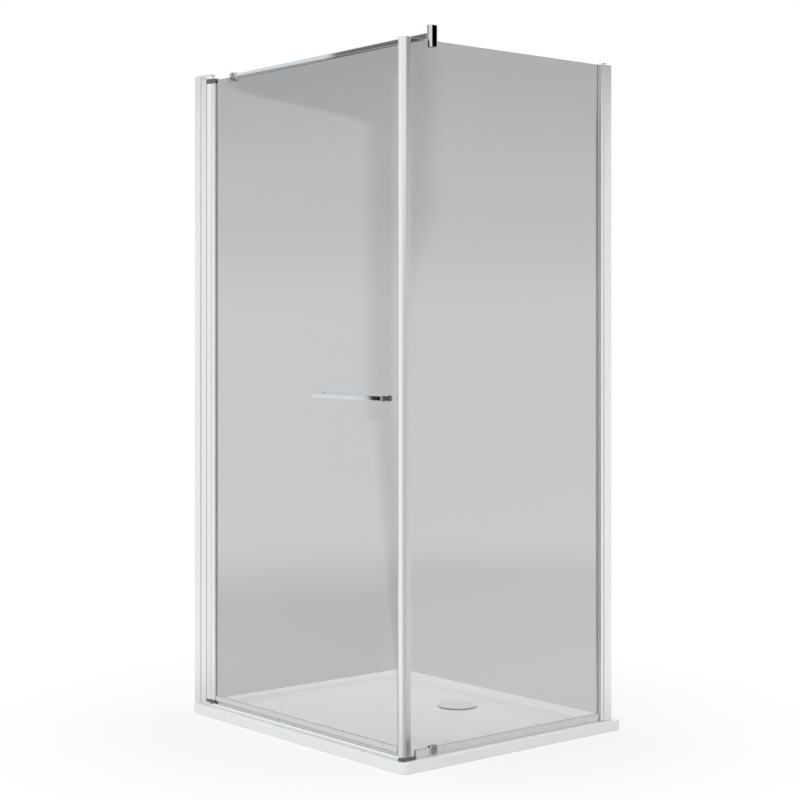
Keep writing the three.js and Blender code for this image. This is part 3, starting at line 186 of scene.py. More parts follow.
class StudioSettings(bpy.types.PropertyGroup):
    """The camera, the lamps and the floor."""
    eye: FloatVectorProperty(
        name="Camera place", description="Where the camera stands", size=3,
        default=(3.9586, -3.321, 1.1486), subtype="XYZ", unit="LENGTH")
    heading: FloatProperty(
        name="Camera heading", description="Turn of the level camera about the vertical",
        default=math.radians(49.937), subtype="ANGLE")
    lens: FloatProperty(
        name="Lens", description="Focal length for a 36 mm sensor, in mm", default=78.26, min=1.0)
    shift: FloatVectorProperty(
        name="Lens shift", description="Sideways and upward shift of the picture", size=2,
        default=(0.0, -0.0816))
    sky_level: FloatProperty(
        name="Sky level", description="Light from all round", default=0.66, min=0.0)
    ceiling_power: FloatProperty(
        name="Ceiling lamp", description="Power of the lamp overhead, in watts", default=85.0,
        min=0.0)
    front_power: FloatProperty(
        name="Front lamp", description="Power of the lamp at the front, in watts", default=36.0,
        min=0.0)
    # Painted shade: how pale the backdrop is when seen through the panes, where it is grey rather than
    # white
    painted_backing_shade: FloatProperty(
        name="Backing", description="Paleness of the backdrop behind the glass", default=0.78,
        min=0.0, max=1.0)
    floor: colour("Floor", "Colour of the floor", "#F4F4F4")


def settings(name):
    return getattr(bpy.context.scene, f"enclosure_{name}")


# Outlines in two axes

def arc(x, y, radius, start, end, steps):
    """Points on an arc, which fillet leaves as they are."""
    turns = [start + (end - start) * i / steps for i in range(steps + 1)]
    return [(x + radius * math.cos(a), y + radius * math.sin(a), 0.0) for a in turns]


def ring_of(x, y, radius, steps=48):
    return arc(x, y, radius, 0.0, 2 * math.pi, steps)[:-1]


def fillet(corners, radius=0.0, steps=4):
    """An outline with rounded corners; a corner given as (x, y, r) has a radius of its own."""
    points = []
    for i, corner in enumerate(corners):
        here = Vector(corner[:2])
        wanted = corner[2] if len(corner) > 2 else radius
        back = Vector(corners[i - 1][:2]) - here
        ahead = Vector(corners[(i + 1) % len(corners)][:2]) - here
        touching = min(back.length, ahead.length) < TOUCHING
        angle = math.pi if touching else back.angle(ahead)
        if wanted <= 0 or angle > math.pi - STRAIGHT:
            points.append(tuple(here))
            continue
        half = math.tan(angle / 2)
        reach = min(wanted / half, SIDE_SHARE * min(back.length, ahead.length))
        centre = here + (back.normalized() + ahead.normalized()).normalized() * (
            reach / math.cos(angle / 2))
        first = here + back.normalized() * reach - centre
        last = here + ahead.normalized() * reach - centre
        start = math.atan2(first.y, first.x)
        sweep = (math.atan2(last.y, last.x) - start + math.pi) % (2 * math.pi) - math.pi
        points += [p[:2] for p in arc(*centre, first.length, start, start + sweep, steps)]
    return points


def rectangle(left, low, right, high):
    return [(left, low), (right, low), (right, high), (left, high)]


# Meshes. Each maker gives points and faces, and finish_piece makes the object

def extruded(loops, low, high, place):
    """A solid from one outline and the outlines of its chambers, drawn in the axes of place."""
    points, spans = [], []
    for loop in loops:
        spans.append((len(points), len(loop)))
        points += [tuple(p[:2]) for p in loop]
    count = len(points)
    corners = [place(x, y, low) for x, y in points] + [place(x, y, high) for x, y in points]
    faces = []
    for start, size in spans:
        for i in range(size):
            here, after = start + i, start + (i + 1) % size
            faces.append((here, after, after + count, here + count))
    flat = [[Vector((x, y, 0.0)) for x, y, *_ in loop] for loop in loops]
    for triangle in tessellate_polygon(flat):
        faces.append(tuple(triangle))
        faces.append(tuple(i + count for i in reversed(triangle)))
    return corners, faces


def lofted(rings, joined=False):
    """A skin through rings of equally many points, closed by its ends or back to its start."""
    size = len(rings[0])
    corners = [point for ring in rings for point in ring]
    faces = []
    for r in range(len(rings) if joined else len(rings) - 1):
        for i in range(size):
            here, after = r * size, (r + 1) % len(rings) * size
            faces.append((here + i, here + (i + 1) % size, after + (i + 1) % size, after + i))
    if not joined:
        faces.append(tuple(range(size)))
        faces.append(tuple(range(len(corners) - size, len(corners))))
    return corners, faces


def turned(profile, place, steps=64, hexagon=()):
    """A solid turned about an axis, from axis to axis or closed; hexagon lists six-sided rings."""
    corners, faces, rings = [], [], []
    for index, (radius, height, *_) in enumerate(profile):
        ring = []
        for i in range(1 if radius < ON_AXIS else steps):
            angle = 2 * math.pi * i / steps
            shape = 1.0
            if index in hexagon:
                sector = math.pi / 3
                shape = math.cos(sector / 2) / math.cos(angle % sector - sector / 2)
            x, y = radius * shape * math.cos(angle), radius * shape * math.sin(angle)
            ring.append(len(corners))
            corners.append(place(x, y, height))
        rings.append(ring)
    closed = profile[0][0] > ON_AXIS
    for r in range(len(rings) if closed else len(rings) - 1):
        one, two = rings[r], rings[(r + 1) % len(rings)]
        for i in range(steps):
            a, b = one[i % len(one)], one[(i + 1) % len(one)]
            c, d = two[(i + 1) % len(two)], two[i % len(two)]
            face = list(dict.fromkeys((a, b, c, d)))
            if len(face) > 2:
                faces.append(tuple(face))
    return corners, faces


def rounded_block(low, high, radius, edge, place, steps=6):
    """A bar of rounded-rectangle section with rounded ends; low and high are (x, y, z)."""
    rings = []
    swing = [QUARTER * i / steps for i in range(steps, -1, -1)]
    ends = [(edge * (1 - math.sin(a)), edge * (1 - math.cos(a))) for a in swing]
    levels = [(low[2] + rise, inset) for rise, inset in ends]
    levels += [(high[2] - rise, inset) for rise, inset in reversed(ends)]
    for z, inset in levels:
        corners = rectangle(low[0] + inset, low[1] + inset, high[0] - inset, high[1] - inset)
        rings.append([place(x, y, z) for x, y in fillet(corners, radius - inset, steps)])
    return lofted(rings)


def baked(piece, modifier):
    """The mesh that a modifier makes of a piece, which loses the modifier again."""
    graph = bpy.context.evaluated_depsgraph_get()
    mesh = bpy.data.meshes.new_from_object(piece.evaluated_get(graph))
    piece.modifiers.remove(modifier)
    return mesh


def shade(piece, sharp=SHARP):
    """Smooth round its curves; the large faces set the normals, so that flat metal mirrors flat."""
    piece.data.polygons.foreach_set("use_smooth", [True] * len(piece.data.polygons))
    piece.data.set_sharp_from_angle(angle=sharp)
    modifier = piece.modifiers.new("weighted_normals", "WEIGHTED_NORMAL")
    modifier.weight = 90
    modifier.keep_sharp = True
    piece.data = baked(piece, modifier)


def shape_of(part):
    """A mesh, still open to edits, of a maker's points and faces, with its faces outwards."""
    corners, faces = part
    shape = bmesh.new()
    made = [shape.verts.new(corner) for corner in corners]
    for face in faces:
        shape.faces.new([made[i] for i in face])
    bmesh.ops.remove_doubles(shape, verts=shape.verts, dist=MERGE)
    bmesh.ops.recalc_face_normals(shape, faces=shape.faces)
    return shape


def closed_mesh(name, shape):
    mesh = bpy.data.meshes.new(name)
    shape.to_mesh(mesh)
    shape.free()
    return mesh


def settle(name, shape, finish, body, nodes, sharp=SHARP):
    """The object of a shape, which rides on a body and stands for CAD nodes."""
    mesh = closed_mesh(name, shape)
    mesh.materials.append(FINISHES[finish])
    piece = bpy.data.objects.new(name, mesh)
    bpy.context.scene.collection.objects.link(piece)
    shade(piece, sharp)
    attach(piece, body)
    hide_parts(*nodes)
    return piece


def finish_piece(name, part, finish, body, nodes, sharp=SHARP):
    return settle(name, shape_of(part), finish, body, nodes, sharp)


def eased_copy(name, node, finish, body, width):
    """A node's own shape with its sharp edges rounded, as moulding, casting or tumbling leaves it."""
    shape = bmesh.new()
    shape.from_mesh(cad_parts[node].data)
    bmesh.ops.remove_doubles(shape, verts=shape.verts, dist=MERGE)
    bmesh.ops.dissolve_limit(shape, angle_limit=FLAT, verts=shape.verts, edges=shape.edges)
    edges = [e for e in shape.edges if len(e.link_faces) == 2 and e.calc_face_angle() > SHARP]
    bmesh.ops.bevel(
        shape, geom=edges, offset=width, offset_type="OFFSET", segments=2, profile=0.5,
        affect="EDGES", clamp_overlap=True)
    return settle(name, shape, finish, body, [node])


# Places of the groups of pieces, each with its own two axes in plan

def middle(node):
    low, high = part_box(node)
    return (low + high) / 2


def size_of(node):
    low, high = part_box(node)
    return high - low


WALL_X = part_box("hinge_wall_channel")[0].x
WALL_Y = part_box("side_wall_channel")[1].y
DOOR_Y = middle("door_glass").y
SIDE_X = middle("side_glass").x
PIVOT_X = middle("pivot_pin_bottom").x
RIM_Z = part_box("hinge_wall_channel")[0].z
TOP_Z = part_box("hinge_wall_channel")[1].z
DRAIN = middle("drain_cover")
DRAIN_PLACE = (DRAIN.x, DRAIN.y)


def at_hinge(x, y, z):
    return (WALL_X + x, DOOR_Y + y, z)


def at_pivot(x, y, z):
    return (PIVOT_X + x, DOOR_Y + y, z)


def at_side(x, y, z):
    return (SIDE_X + y, WALL_Y - x, z)


def at_drain(x, y, z):
    return (DRAIN.x + x, DRAIN.y + y, z)


def upright(x, y, z):
    """For sections drawn in plan, and for screws."""
    return (x, y, z)


def level_x(x, y, z):
    """For sections drawn in Y and Z that run along X."""
    return (z, x, y)


def level_y(x, y, z):
    """For sections drawn in X and Z that run along Y."""
    return (x, z, y)


# Node trees

def add(tree, kind, inputs=None, **properties):
    """Adds a node with its properties; an input is a value, a socket or a node's first result."""
    node = tree.nodes.new(kind)
    for name, value in properties.items():
        setattr(node, name, value)
    for name, value in (inputs or {}).items():
        if isinstance(value, bpy.types.Node):
            value = value.outputs[0]
        if isinstance(value, bpy.types.NodeSocket):
            tree.links.new(value, node.inputs[name])
        else:
            node.inputs[name].default_value = value
    return node


def formula(tree, terms, kind="ShaderNodeMath"):
    """The result of a formula, which is written as an operation and its terms.

    A term is a value, a socket, a node or a formula. SMOOTH eases a value from one range to
    another, and the other operations are those of the kind of arithmetic.
    """
    if not (isinstance(terms, tuple) and isinstance(terms[0], str)):
        return terms
    operation, *rest = terms
    inputs = {i: formula(tree, term, kind) for i, term in enumerate(rest)}
    if operation == "SMOOTH":
        node = add(tree, "ShaderNodeMapRange", inputs, interpolation_type="SMOOTHSTEP")
    else:
        node = add(tree, kind, inputs, operation=operation)
    return node.outputs[0]


def growth_tree(name, sockets):
    """An empty Geometry Nodes tree with a geometry, the named inputs and a material."""
    tree = bpy.data.node_groups.new(name, "GeometryNodeTree")
    given = {"Geometry": "Geometry", **sockets, "Material": "Material"}
    for label, kind in given.items():
        tree.interface.new_socket(label, in_out="INPUT", socket_type=f"NodeSocket{kind}")
    tree.interface.new_socket("Geometry", in_out="OUTPUT", socket_type="NodeSocketGeometry")
    return tree, add(tree, "NodeGroupInput").outputs


def end_tree(tree, geometry, given):
    real = add(tree, "GeometryNodeRealizeInstances", {"Geometry": geometry})
    painted = add(
        tree, "GeometryNodeSetMaterial", {"Geometry": real, "Material": given["Material"]})
    add(tree, "NodeGroupOutput", {"Geometry": painted})
    return tree


def cut_away(tree, cutters, given):
    """Takes the cutters from the piece that comes in, and ends the tree."""
    real = add(tree, "GeometryNodeRealizeInstances", {"Geometry": cutters})
    left = add(tree, "GeometryNodeMeshBoolean", {
        "Mesh 1": given["Geometry"], "Mesh 2": real}, operation="DIFFERENCE")
    return end_tree(tree, left, given)


def grow(piece, tree, values, sharp=SHARP):
    """Runs a tree on a piece and keeps the result as its plain mesh."""
    modifier = piece.modifiers.new(tree.name, "NODES")
    modifier.node_group = tree
    for item in tree.interface.items_tree:
        if item.item_type == "SOCKET" and item.in_out == "INPUT" and item.name in values:
            modifier[item.identifier] = values[item.name]
    piece.data = baked(piece, modifier)
    if not piece.data.polygons:
        raise RuntimeError(f"{tree.name} left nothing of {piece.name}")
    shade(piece, sharp)


ROW_SOCKETS = {"Start": "Vector", "Step": "Vector", "Turn": "Rotation", "Count": "Int"}


def row_of(tree, shape, given):
    """Copies of a shape along a row, each with the same turn."""
    row = add(tree, "GeometryNodeMeshLine", {
        "Count": given["Count"], "Start Location": given["Start"], "Offset": given["Step"]},
        mode="OFFSET")
    return add(tree, "GeometryNodeInstanceOnPoints", {
        "Points": row, "Instance": shape, "Rotation": given["Turn"]})


def drilled_row_tree():
    """Bores a row of round holes."""
    tree, given = growth_tree("drilled_row", {
        "Radius": "Float", "Depth": "Float", **ROW_SOCKETS})
    bit = add(tree, "GeometryNodeMeshCylinder", {
        "Vertices": 32, "Radius": given["Radius"], "Depth": given["Depth"]})
    return cut_away(tree, row_of(tree, bit, given), given)


def screw_row_tree():
    """Sets one screw along a row."""
    tree, given = growth_tree("screw_row", {"Screw": "Object", **ROW_SOCKETS})
    screw = add(tree, "GeometryNodeObjectInfo", {"Object": given["Screw"]})
    return end_tree(tree, row_of(tree, screw.outputs["Geometry"], given), given)


def radial_slots_tree():
    """Cuts slots that point to the middle of a round piece."""
    tree, given = growth_tree("radial_slots", {
        "Slot": "Vector", "Middle": "Vector", "Radius": "Float", "Count": "Int"})
    circle = add(tree, "GeometryNodeMeshCircle", {
        "Vertices": given["Count"], "Radius": given["Radius"]})
    outward = add(tree, "FunctionNodeAlignRotationToVector", {
        "Vector": add(tree, "GeometryNodeInputPosition")}, axis="X")
    slot = add(tree, "GeometryNodeMeshCube", {"Size": given["Slot"]})
    slots = add(tree, "GeometryNodeInstanceOnPoints", {
        "Points": circle, "Instance": slot, "Rotation": outward})
    moved = add(tree, "GeometryNodeTransform", {
        "Geometry": slots, "Translation": given["Middle"]})
    return cut_away(tree, moved, given)


def rib_grid_tree():
    """Sinks a grid of pockets into the underside, apart from those that come near the drain."""
    tree, given = growth_tree("rib_grid", {
        "Span X": "Float", "Span Y": "Float", "Columns": "Int", "Rows": "Int",
        "Middle": "Vector", "Pocket": "Vector", "Drain": "Vector", "Clear": "Float"})
    centred = add(tree, "GeometryNodeMeshGrid", {
        "Size X": given["Span X"], "Size Y": given["Span Y"],
        "Vertices X": given["Columns"], "Vertices Y": given["Rows"]})
    grid = add(tree, "GeometryNodeTransform", {
        "Geometry": centred, "Translation": given["Middle"]})
    from_drain = ("SUBTRACT", given["Drain"], add(tree, "GeometryNodeInputPosition"))
    half = ("MULTIPLY", given["Pocket"], (0.5, 0.5, 0.5))
    outside = ("MAXIMUM", ("SUBTRACT", ("ABSOLUTE", from_drain), half), (0.0, 0.0, 0.0))
    in_plan = formula(tree, ("MULTIPLY", outside, (1.0, 1.0, 0.0)), "ShaderNodeVectorMath")
    gap = add(tree, "ShaderNodeVectorMath", {0: in_plan}, operation="LENGTH")
    near = add(tree, "FunctionNodeCompare", {
        0: gap.outputs["Value"], 1: given["Clear"]}, operation="LESS_THAN")
    spots = add(tree, "GeometryNodeDeleteGeometry", {"Geometry": grid, "Selection": near})
    pocket = add(tree, "GeometryNodeMeshCube", {"Size": given["Pocket"]})
    pockets = add(tree, "GeometryNodeInstanceOnPoints", {"Points": spots, "Instance": pocket})
    return cut_away(tree, pockets, given)


# Finishes

FINISHES = {}


def empty_material(name):
    made = bpy.data.materials.new(name)
    made.use_nodes = True
    made.node_tree.nodes.clear()
    return made, made.node_tree


def grain(tree, size, detail=2.0, seed=0.0):
    """Noise whose patches are size metres wide; size is one length or one for each axis."""
    place = add(tree, "ShaderNodeTexCoord")
    sizes = size if isinstance(size, tuple) else (size,) * 3
    mapping = add(tree, "ShaderNodeMapping", {
        "Vector": place.outputs["Object"], "Location": (seed,) * 3,
        "Scale": tuple(1 / s for s in sizes)})
    return add(tree, "ShaderNodeTexNoise", {
        "Vector": mapping, "Scale": 1.0, "Detail": detail, "Roughness": 0.5})


def patterned(name, base, darker, tone, rough, shine, relief=None, depth=0.0, values=None):
    """A material whose colour, shine and relief drift with noise.

    The colour goes from base to one darker by a share, and the roughness through the range
    rough; depth is the relief's real height. tone, shine and relief are the noises: the size
    of their patches, and where they matter their detail and a seed. values are the shader's
    plain values.
    """
    made, tree = empty_material(name)
    noises = {patches: grain(tree, *patches)
              for patches in dict.fromkeys((tone, shine, relief)) if patches}
    usual = {"From Min": 0.3, "From Max": 0.7}
    share = add(tree, "ShaderNodeMapRange", {"Value": noises[tone], **usual})
    colour = add(tree, "ShaderNodeMix", {
        "Factor": share, 6: (*base, 1.0), 7: (*(c * (1 - darker) for c in base), 1.0)},
        data_type="RGBA")
    gloss = add(tree, "ShaderNodeMapRange", {
        "Value": noises[shine], **usual, "To Min": rough[0], "To Max": rough[1]})
    inputs = {"Base Color": colour.outputs[2], "Roughness": gloss, **(values or {})}
    if relief:
        inputs["Normal"] = add(tree, "ShaderNodeBump", {
            "Height": noises[relief], "Distance": depth, "Strength": 1.0})
    shader = add(tree, "ShaderNodeBsdfPrincipled", inputs)
    shader.inputs["Base Color"].default_value = (*base, 1.0)
    add(tree, "ShaderNodeOutputMaterial", {"Surface": shader})
    return made


def cast_gelcoat(base):
    # Stone resin cast in a polished mould behind a sprayed gelcoat: bright white with a soft
    # gloss, a faint orange peel of 4 mm, and shine that drifts over hand-wide areas
    return patterned(
        "cast_gelcoat", base, 0.012, (140 * MM,), (0.27, 0.31), (90 * MM, 2.0, 4.0),
        (4 * MM, 1.0), 0.004 * MM, {"IOR": 1.5, "Coat Weight": 0.15, "Coat Roughness": 0.08})


def moulded_plastic(name, base):
    # Injection-moulded polypropylene or acetal: slightly waxy, with a fine even texture that
    # is drawn at 0.8 mm
    return patterned(name, base, 0.04, (12 * MM,), (0.3, 0.42), (5 * MM,), (0.8 * MM,),
                     0.01 * MM, {"IOR": 1.49})


def satin_anodised(name, base, sizes):
    # Extruded aluminium, satin etched and silver anodised: an even pale metal, with the fine
    # streaks of the die along its length, drawn 1.2 mm wide so that they show
    streaks = (sizes,)
    return patterned(name, base, 0.05, streaks, (0.16, 0.24), streaks, streaks, 0.004 * MM,
                     {"Metallic": 1.0})


def chrome_plate(base):
    # Polished chrome over die-cast zinc: a near mirror with a cold tone, whose shine is broken
    # by faint wiped areas about 25 mm wide
    wiped = (25 * MM, 3.0)
    return patterned("chrome_plate", base, 0.03, wiped, (0.015, 0.04), wiped,
                     (9 * MM, 1.0, 2.0), 0.0003 * MM, {"Metallic": 1.0})


def turned_steel(base):
    # Turned and passivated stainless steel: grey, with tool marks drawn at 0.4 mm
    marks = (0.4 * MM,)
    return patterned("turned_steel", base, 0.12, (3 * MM,), (0.24, 0.4), marks, marks,
                     0.01 * MM, {"Metallic": 1.0})


def black_nylon(base):
    # Glass-filled nylon from a spark-eroded mould: dull dark grey with a fine tooth of 0.6 mm
    return patterned("black_nylon", base, 0.3, (6 * MM,), (0.45, 0.6), (2 * MM,), (0.6 * MM,),
                     0.02 * MM, {"IOR": 1.53})


def extruded_rubber(name, base):
    # Extruded rubber: dark grey and matt, with a bloom that lightens patches of it
    return patterned(name, base, -0.25, (30 * MM, 4.0), (0.55, 0.75), (4 * MM,),
                     ((0.9 * MM, 0.9 * MM, 60 * MM),), 0.02 * MM, {"IOR": 1.52})


def soft_clear_vinyl(name, base):
    # Extruded clear vinyl over glass: milky grey and glossy, with faint waves 15 mm long
    return patterned(name, base, 0.08, (18 * MM, 3.0), (0.18, 0.3), (8 * MM,), (15 * MM,),
                     0.05 * MM, {"IOR": 1.53, "Coat Weight": 0.2})


def ground_glass_edge(base):
    # The ground and polished edge of the glass: pale grey-green and slightly frosted, with
    # grinding marks across it drawn at 1.5 mm
    marks = (1.5 * MM,)
    return patterned("ground_glass_edge", base, 0.12, marks, (0.15, 0.4), marks,
                     values={"IOR": 1.5, "Coat Weight": 0.5})


def toughened_glass(glazing):
    # Toughened float glass, 6 mm: perfectly smooth and a neutral grey, with painted shade that makes
    # it deepest at the top and painted light that makes it palest at its foot. Lamps and the light
    # round it reach through it with a tint of their own
    made, tree = empty_material("toughened_glass")
    place = add(tree, "ShaderNodeTexCoord")
    height = add(tree, "ShaderNodeSeparateXYZ", {0: place.outputs["Object"]})
    share = add(tree, "ShaderNodeMapRange", {
        "Value": height.outputs["Z"], "From Min": RIM_Z, "From Max": TOP_Z})
    ramp = add(tree, "ShaderNodeValToRGB", {0: share})
    # Painted shade darkens the glass towards its top, and painted light makes it palest at its foot
    stops = ramp.color_ramp
    stops.interpolation = "EASE"
    stops.elements[0].color = (*glazing.tint_painted_light_low, 1.0)
    stops.elements[-1].color = (*glazing.tint_painted_shade_top, 1.0)
    for position, tint in ((0.42, glazing.tint_middle), (0.6, glazing.tint_middle),
                           (0.8, glazing.tint_painted_shade_high)):
        stops.elements.new(position).color = (*tint, 1.0)
    shader = add(tree, "ShaderNodeBsdfPrincipled", {
        "Base Color": ramp, "Roughness": 0.0, "IOR": 1.5, "Transmission Weight": 1.0})
    shader.inputs["Base Color"].default_value = (*glazing.tint_middle, 1.0)
    path = add(tree, "ShaderNodeLightPath").outputs
    lit = formula(tree, ("MAXIMUM", path["Is Shadow Ray"], path["Is Diffuse Ray"]))
    clear = add(tree, "ShaderNodeBsdfTransparent", {"Color": (0.8, 0.8, 0.8, 1.0)})
    mix = add(tree, "ShaderNodeMixShader", {0: lit, 1: shader, 2: clear})
    add(tree, "ShaderNodeOutputMaterial", {"Surface": mix})
    return made


def mix_finishes():
    tray, metal, glazing = settings("tray"), settings("profiles"), settings("glazing")
    streak, long_streak = 1.2 * MM, 400 * MM
    upright, level = (streak, streak, long_streak), (long_streak, streak, streak)
    FINISHES.update({
        "gelcoat": cast_gelcoat(tray.resin),
        "cover": moulded_plastic("white_polypropylene", tray.cover),
        "acetal": moulded_plastic("white_acetal", linear("#E4E4DF")),
        "anodised_upright": satin_anodised("satin_anodised_upright", metal.aluminium, upright),
        "anodised_level": satin_anodised("satin_anodised_level", metal.aluminium, level),
        "chrome": chrome_plate(metal.chrome),
        "steel": turned_steel(metal.steel),
        "nylon": black_nylon(linear("#6A6C6F")),
        "rubber": extruded_rubber("glazing_rubber", glazing.rubber),
        "magnet": extruded_rubber("magnet_vinyl", linear("#A6A8AA")),
        "vinyl": soft_clear_vinyl("seal_vinyl", glazing.seal),
        "gasket": soft_clear_vinyl("gasket_vinyl", glazing.gasket),
        "glass": toughened_glass(glazing),
        "glass_edge": ground_glass_edge(glazing.ground),
    })


# Tray and drain

CORNER_STEPS = 14
EDGE_STEPS = 12
ROUND_STEPS = 6
SLOPE_STEPS = 14
FALL_STEPS = 8


def tray_ring(inset, radius, z, back=None):
    """Points of one ring, at an inset from the tray's edges or from a back line of its own."""
    low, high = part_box("shower_tray")
    inset += radius
    left, right, front = low.x + inset, high.x - inset, low.y + inset
    rear = (high.y if back is None else back) - inset
    centres = [(right, front), (right, rear), (left, rear), (left, front)]
    ring = []
    for corner, (cx, cy) in enumerate(centres):
        start = (corner - 1) * QUARTER
        bend = [p[:2] for p in arc(cx, cy, radius, start, start + QUARTER, CORNER_STEPS)]
        ring += bend
        nx, ny = centres[(corner + 1) % 4]
        for i in range(1, EDGE_STEPS):
            share = i / EDGE_STEPS
            ring.append((bend[-1][0] + (nx - cx) * share, bend[-1][1] + (ny - cy) * share))
    return [(px, py, z) for px, py in ring]


def circle_like(ring, x, y, radius, z):
    """A circle whose points face those of another ring."""
    angles = [math.atan2(point[1] - y, point[0] - x) for point in ring]
    return [(x + radius * math.cos(a), y + radius * math.sin(a), z) for a in angles]


def tray_rings(tray):
    low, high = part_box("shower_tray")
    seat_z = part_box("drain_upper_gasket")[0].z
    pocket_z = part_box("drain_lower_gasket")[1].z
    rounding = tray.edge_round
    turn = [QUARTER * i / ROUND_STEPS for i in range(ROUND_STEPS + 1)]
    edge = [(rounding * (1 - math.sin(a)), low.z + rounding * (1 - math.cos(a))) for a in turn]
    edge += [(rounding * (1 - math.cos(a)), high.z - rounding * (1 - math.sin(a))) for a in turn]
    rings = [tray_ring(inset, tray.corner_radius - inset, z) for inset, z in edge]
    for i in range(SLOPE_STEPS + 1):
        share = i / SLOPE_STEPS
        drop = tray.dish_depth * (1 - math.cos(math.pi * share)) / 2
        rings.append(tray_ring(
            tray.rim_width + tray.slope_width * share, tray.dish_radius, high.z - drop, WALL_Y))
    floor = rings[-1]
    floor_z = high.z - tray.dish_depth
    mouth_z = floor_z - tray.drain_fall
    circle = circle_like(floor, *DRAIN_PLACE, size_of("drain_cover").x / 2, mouth_z)
    for i in range(1, FALL_STEPS + 1):
        share = i / FALL_STEPS
        rings.append([tuple(Vector(a).lerp(Vector(b), share)) for a, b in zip(floor, circle)])
    recess = size_of("drain_upper_gasket").x / 2 + CLEARANCE
    neck = SPIGOT_RADIUS + CLEARANCE
    lip = 0.6 * MM
    for radius, z in [
            (recess + lip, mouth_z), (recess + lip * 0.3, mouth_z - lip * 0.3),
            (recess, mouth_z - lip), (recess, seat_z), (neck, seat_z),
            (neck, pocket_z), (RECESS_RADIUS, pocket_z), (RECESS_RADIUS, low.z)]:
        rings.append(circle_like(floor, *DRAIN_PLACE, radius, z))
    return rings


def make_tray():
    tray = settings("tray")
    low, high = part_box("shower_tray")
    piece = finish_piece(
        "tray_casting", lofted(tray_rings(tray), joined=True), "gelcoat", "enclosure",
        ["shower_tray"])
    span = high.x - low.x - 2 * tray.pocket_rim + tray.pocket_rib
    depth = high.y - low.y - 2 * tray.pocket_rim + tray.pocket_rib
    pitch_x, pitch_y = span / tray.pocket_columns, depth / tray.pocket_rows
    pocket = (pitch_x - tray.pocket_rib, pitch_y - tray.pocket_rib, 2 * tray.pocket_depth)
    grow(piece, rib_grid_tree(), {
        "Span X": span - pitch_x, "Span Y": depth - pitch_y, "Columns": tray.pocket_columns,
        "Rows": tray.pocket_rows, "Middle": ((low.x + high.x) / 2, (low.y + high.y) / 2, 0.0),
        "Pocket": pocket, "Drain": tuple(DRAIN),
        "Clear": RECESS_RADIUS + tray.pocket_rib, "Material": FINISHES["gelcoat"]})


def make_cover():
    tray = settings("tray")
    low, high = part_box("drain_cover")
    radius = (high.x - low.x) / 2
    edge_z = high.z - tray.cover_crown - tray.cover_wall / 2
    half = tray.cover_wall / 2
    stem = 5 * MM
    steps = 18

    def dome(r):
        return tray.cover_crown * (1 - (r / radius) ** 2)

    under = [(r, edge_z - half + dome(r)) for r in
             [stem + (radius - half - stem) * i / steps for i in range(steps + 1)]]
    rim = [(radius - half + half * math.cos(a), edge_z + half * math.sin(a) + dome(radius - half) / 2)
           for a in [-QUARTER + math.pi * i / 10 for i in range(1, 10)]]
    over = [(r, edge_z + half + dome(r)) for r in
            [(radius - half) * (1 - i / steps) for i in range(steps + 1)]]
    profile = [(0.0, low.z), (stem - 0.5 * MM, low.z), (stem, low.z + 0.5 * MM)] + under + rim + over
    finish_piece(
        "drain_cover_dome", turned(profile, at_drain, DRAIN_STEPS), "cover", "drain_insert",
        ["drain_cover"])


def make_strainer():
    tray = settings("tray")
    low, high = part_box("drain_strainer")
    wall = 1.5 * MM
    rim = (high.x - low.x) / 2
    cup = 39.7 * MM
    ledge = high.z - wall
    foot_round, floor_round = 1.4 * MM, 1.0 * MM
    profile = [(0.0, low.z)] + fillet([
        (0.0, low.z, 0.0), (cup, low.z, foot_round), (cup, ledge, 0.0), (rim, ledge, KEEN),
        (rim, high.z, EASED), (cup - wall, high.z, EASED),
        (cup - wall, low.z + wall, floor_round), (0.0, low.z + wall, 0.0)])[1:]
    piece = finish_piece(
        "strainer_cup", turned(profile, at_drain, DRAIN_STEPS), "acetal", "drain_insert",
        ["drain_strainer"])
    inner, outer, width = 11 * MM, cup - 2 * wall, 4 * MM
    grow(piece, radial_slots_tree(), {
        "Slot": (outer - inner, width, 3 * wall), "Radius": (inner + outer) / 2,
        "Middle": (DRAIN.x, DRAIN.y, low.z + wall / 2), "Count": tray.slots,
        "Material": FINISHES["acetal"]})


def make_flange():
    low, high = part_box("drain_flange")
    radius = (high.x - low.x) / 2
    throat, ledge, under, seat = 40 * MM, 43.2 * MM, high.z - 2.5 * MM, high.z - 3 * MM
    profile = fillet([
        (throat, low.z, FINE), (SPIGOT_RADIUS, low.z, BLUNT), (SPIGOT_RADIUS, under, 0.0),
        (radius, under, KEEN), (radius, high.z, FULL), (ledge, high.z, EASED),
        (ledge, seat, 0.0), (throat, seat, FINE)], 0.0, 5)
    finish_piece(
        "flange_turned", turned(profile, at_drain, DRAIN_STEPS), "chrome", "enclosure",
        ["drain_flange"])
    eased_copy("locknut_moulding", "drain_locknut", "acetal", "enclosure", FINE)
    paint_nodes(("drain_upper_gasket", "drain_lower_gasket"), "rubber")


def paint_nodes(nodes, finish):
    """Gives CAD nodes that stay as they are their finish."""
    for node in nodes:
        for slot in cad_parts[node].material_slots:
            slot.material = FINISHES[finish]


# Profiles on the walls

def fixing_levels():
    profiles = settings("profiles")
    first = RIM_Z + profiles.fixing_end
    pitch = (TOP_Z - RIM_Z - 2 * profiles.fixing_end) / max(1, profiles.fixing_count - 1)
    return first, pitch


def channel_loop(reach, half, wall, edge):
    clear = half - wall
    return fillet([
        (0.0, -half, edge), (reach, -half, edge), (reach, -clear, edge / 2),
        (wall, -clear, edge), (wall, clear, edge), (reach, clear, edge / 2),
        (reach, half, edge), (0.0, half, edge)])


def drill(piece, radius, start, turn):
    grow(piece, bpy.data.node_groups["drilled_row"], {
        "Radius": radius, "Depth": DRILL_DEPTH, "Start": start,
        "Step": (0.0, 0.0, fixing_levels()[1]), "Turn": turn,
        "Count": settings("profiles").fixing_count, "Material": FINISHES["anodised_upright"]})


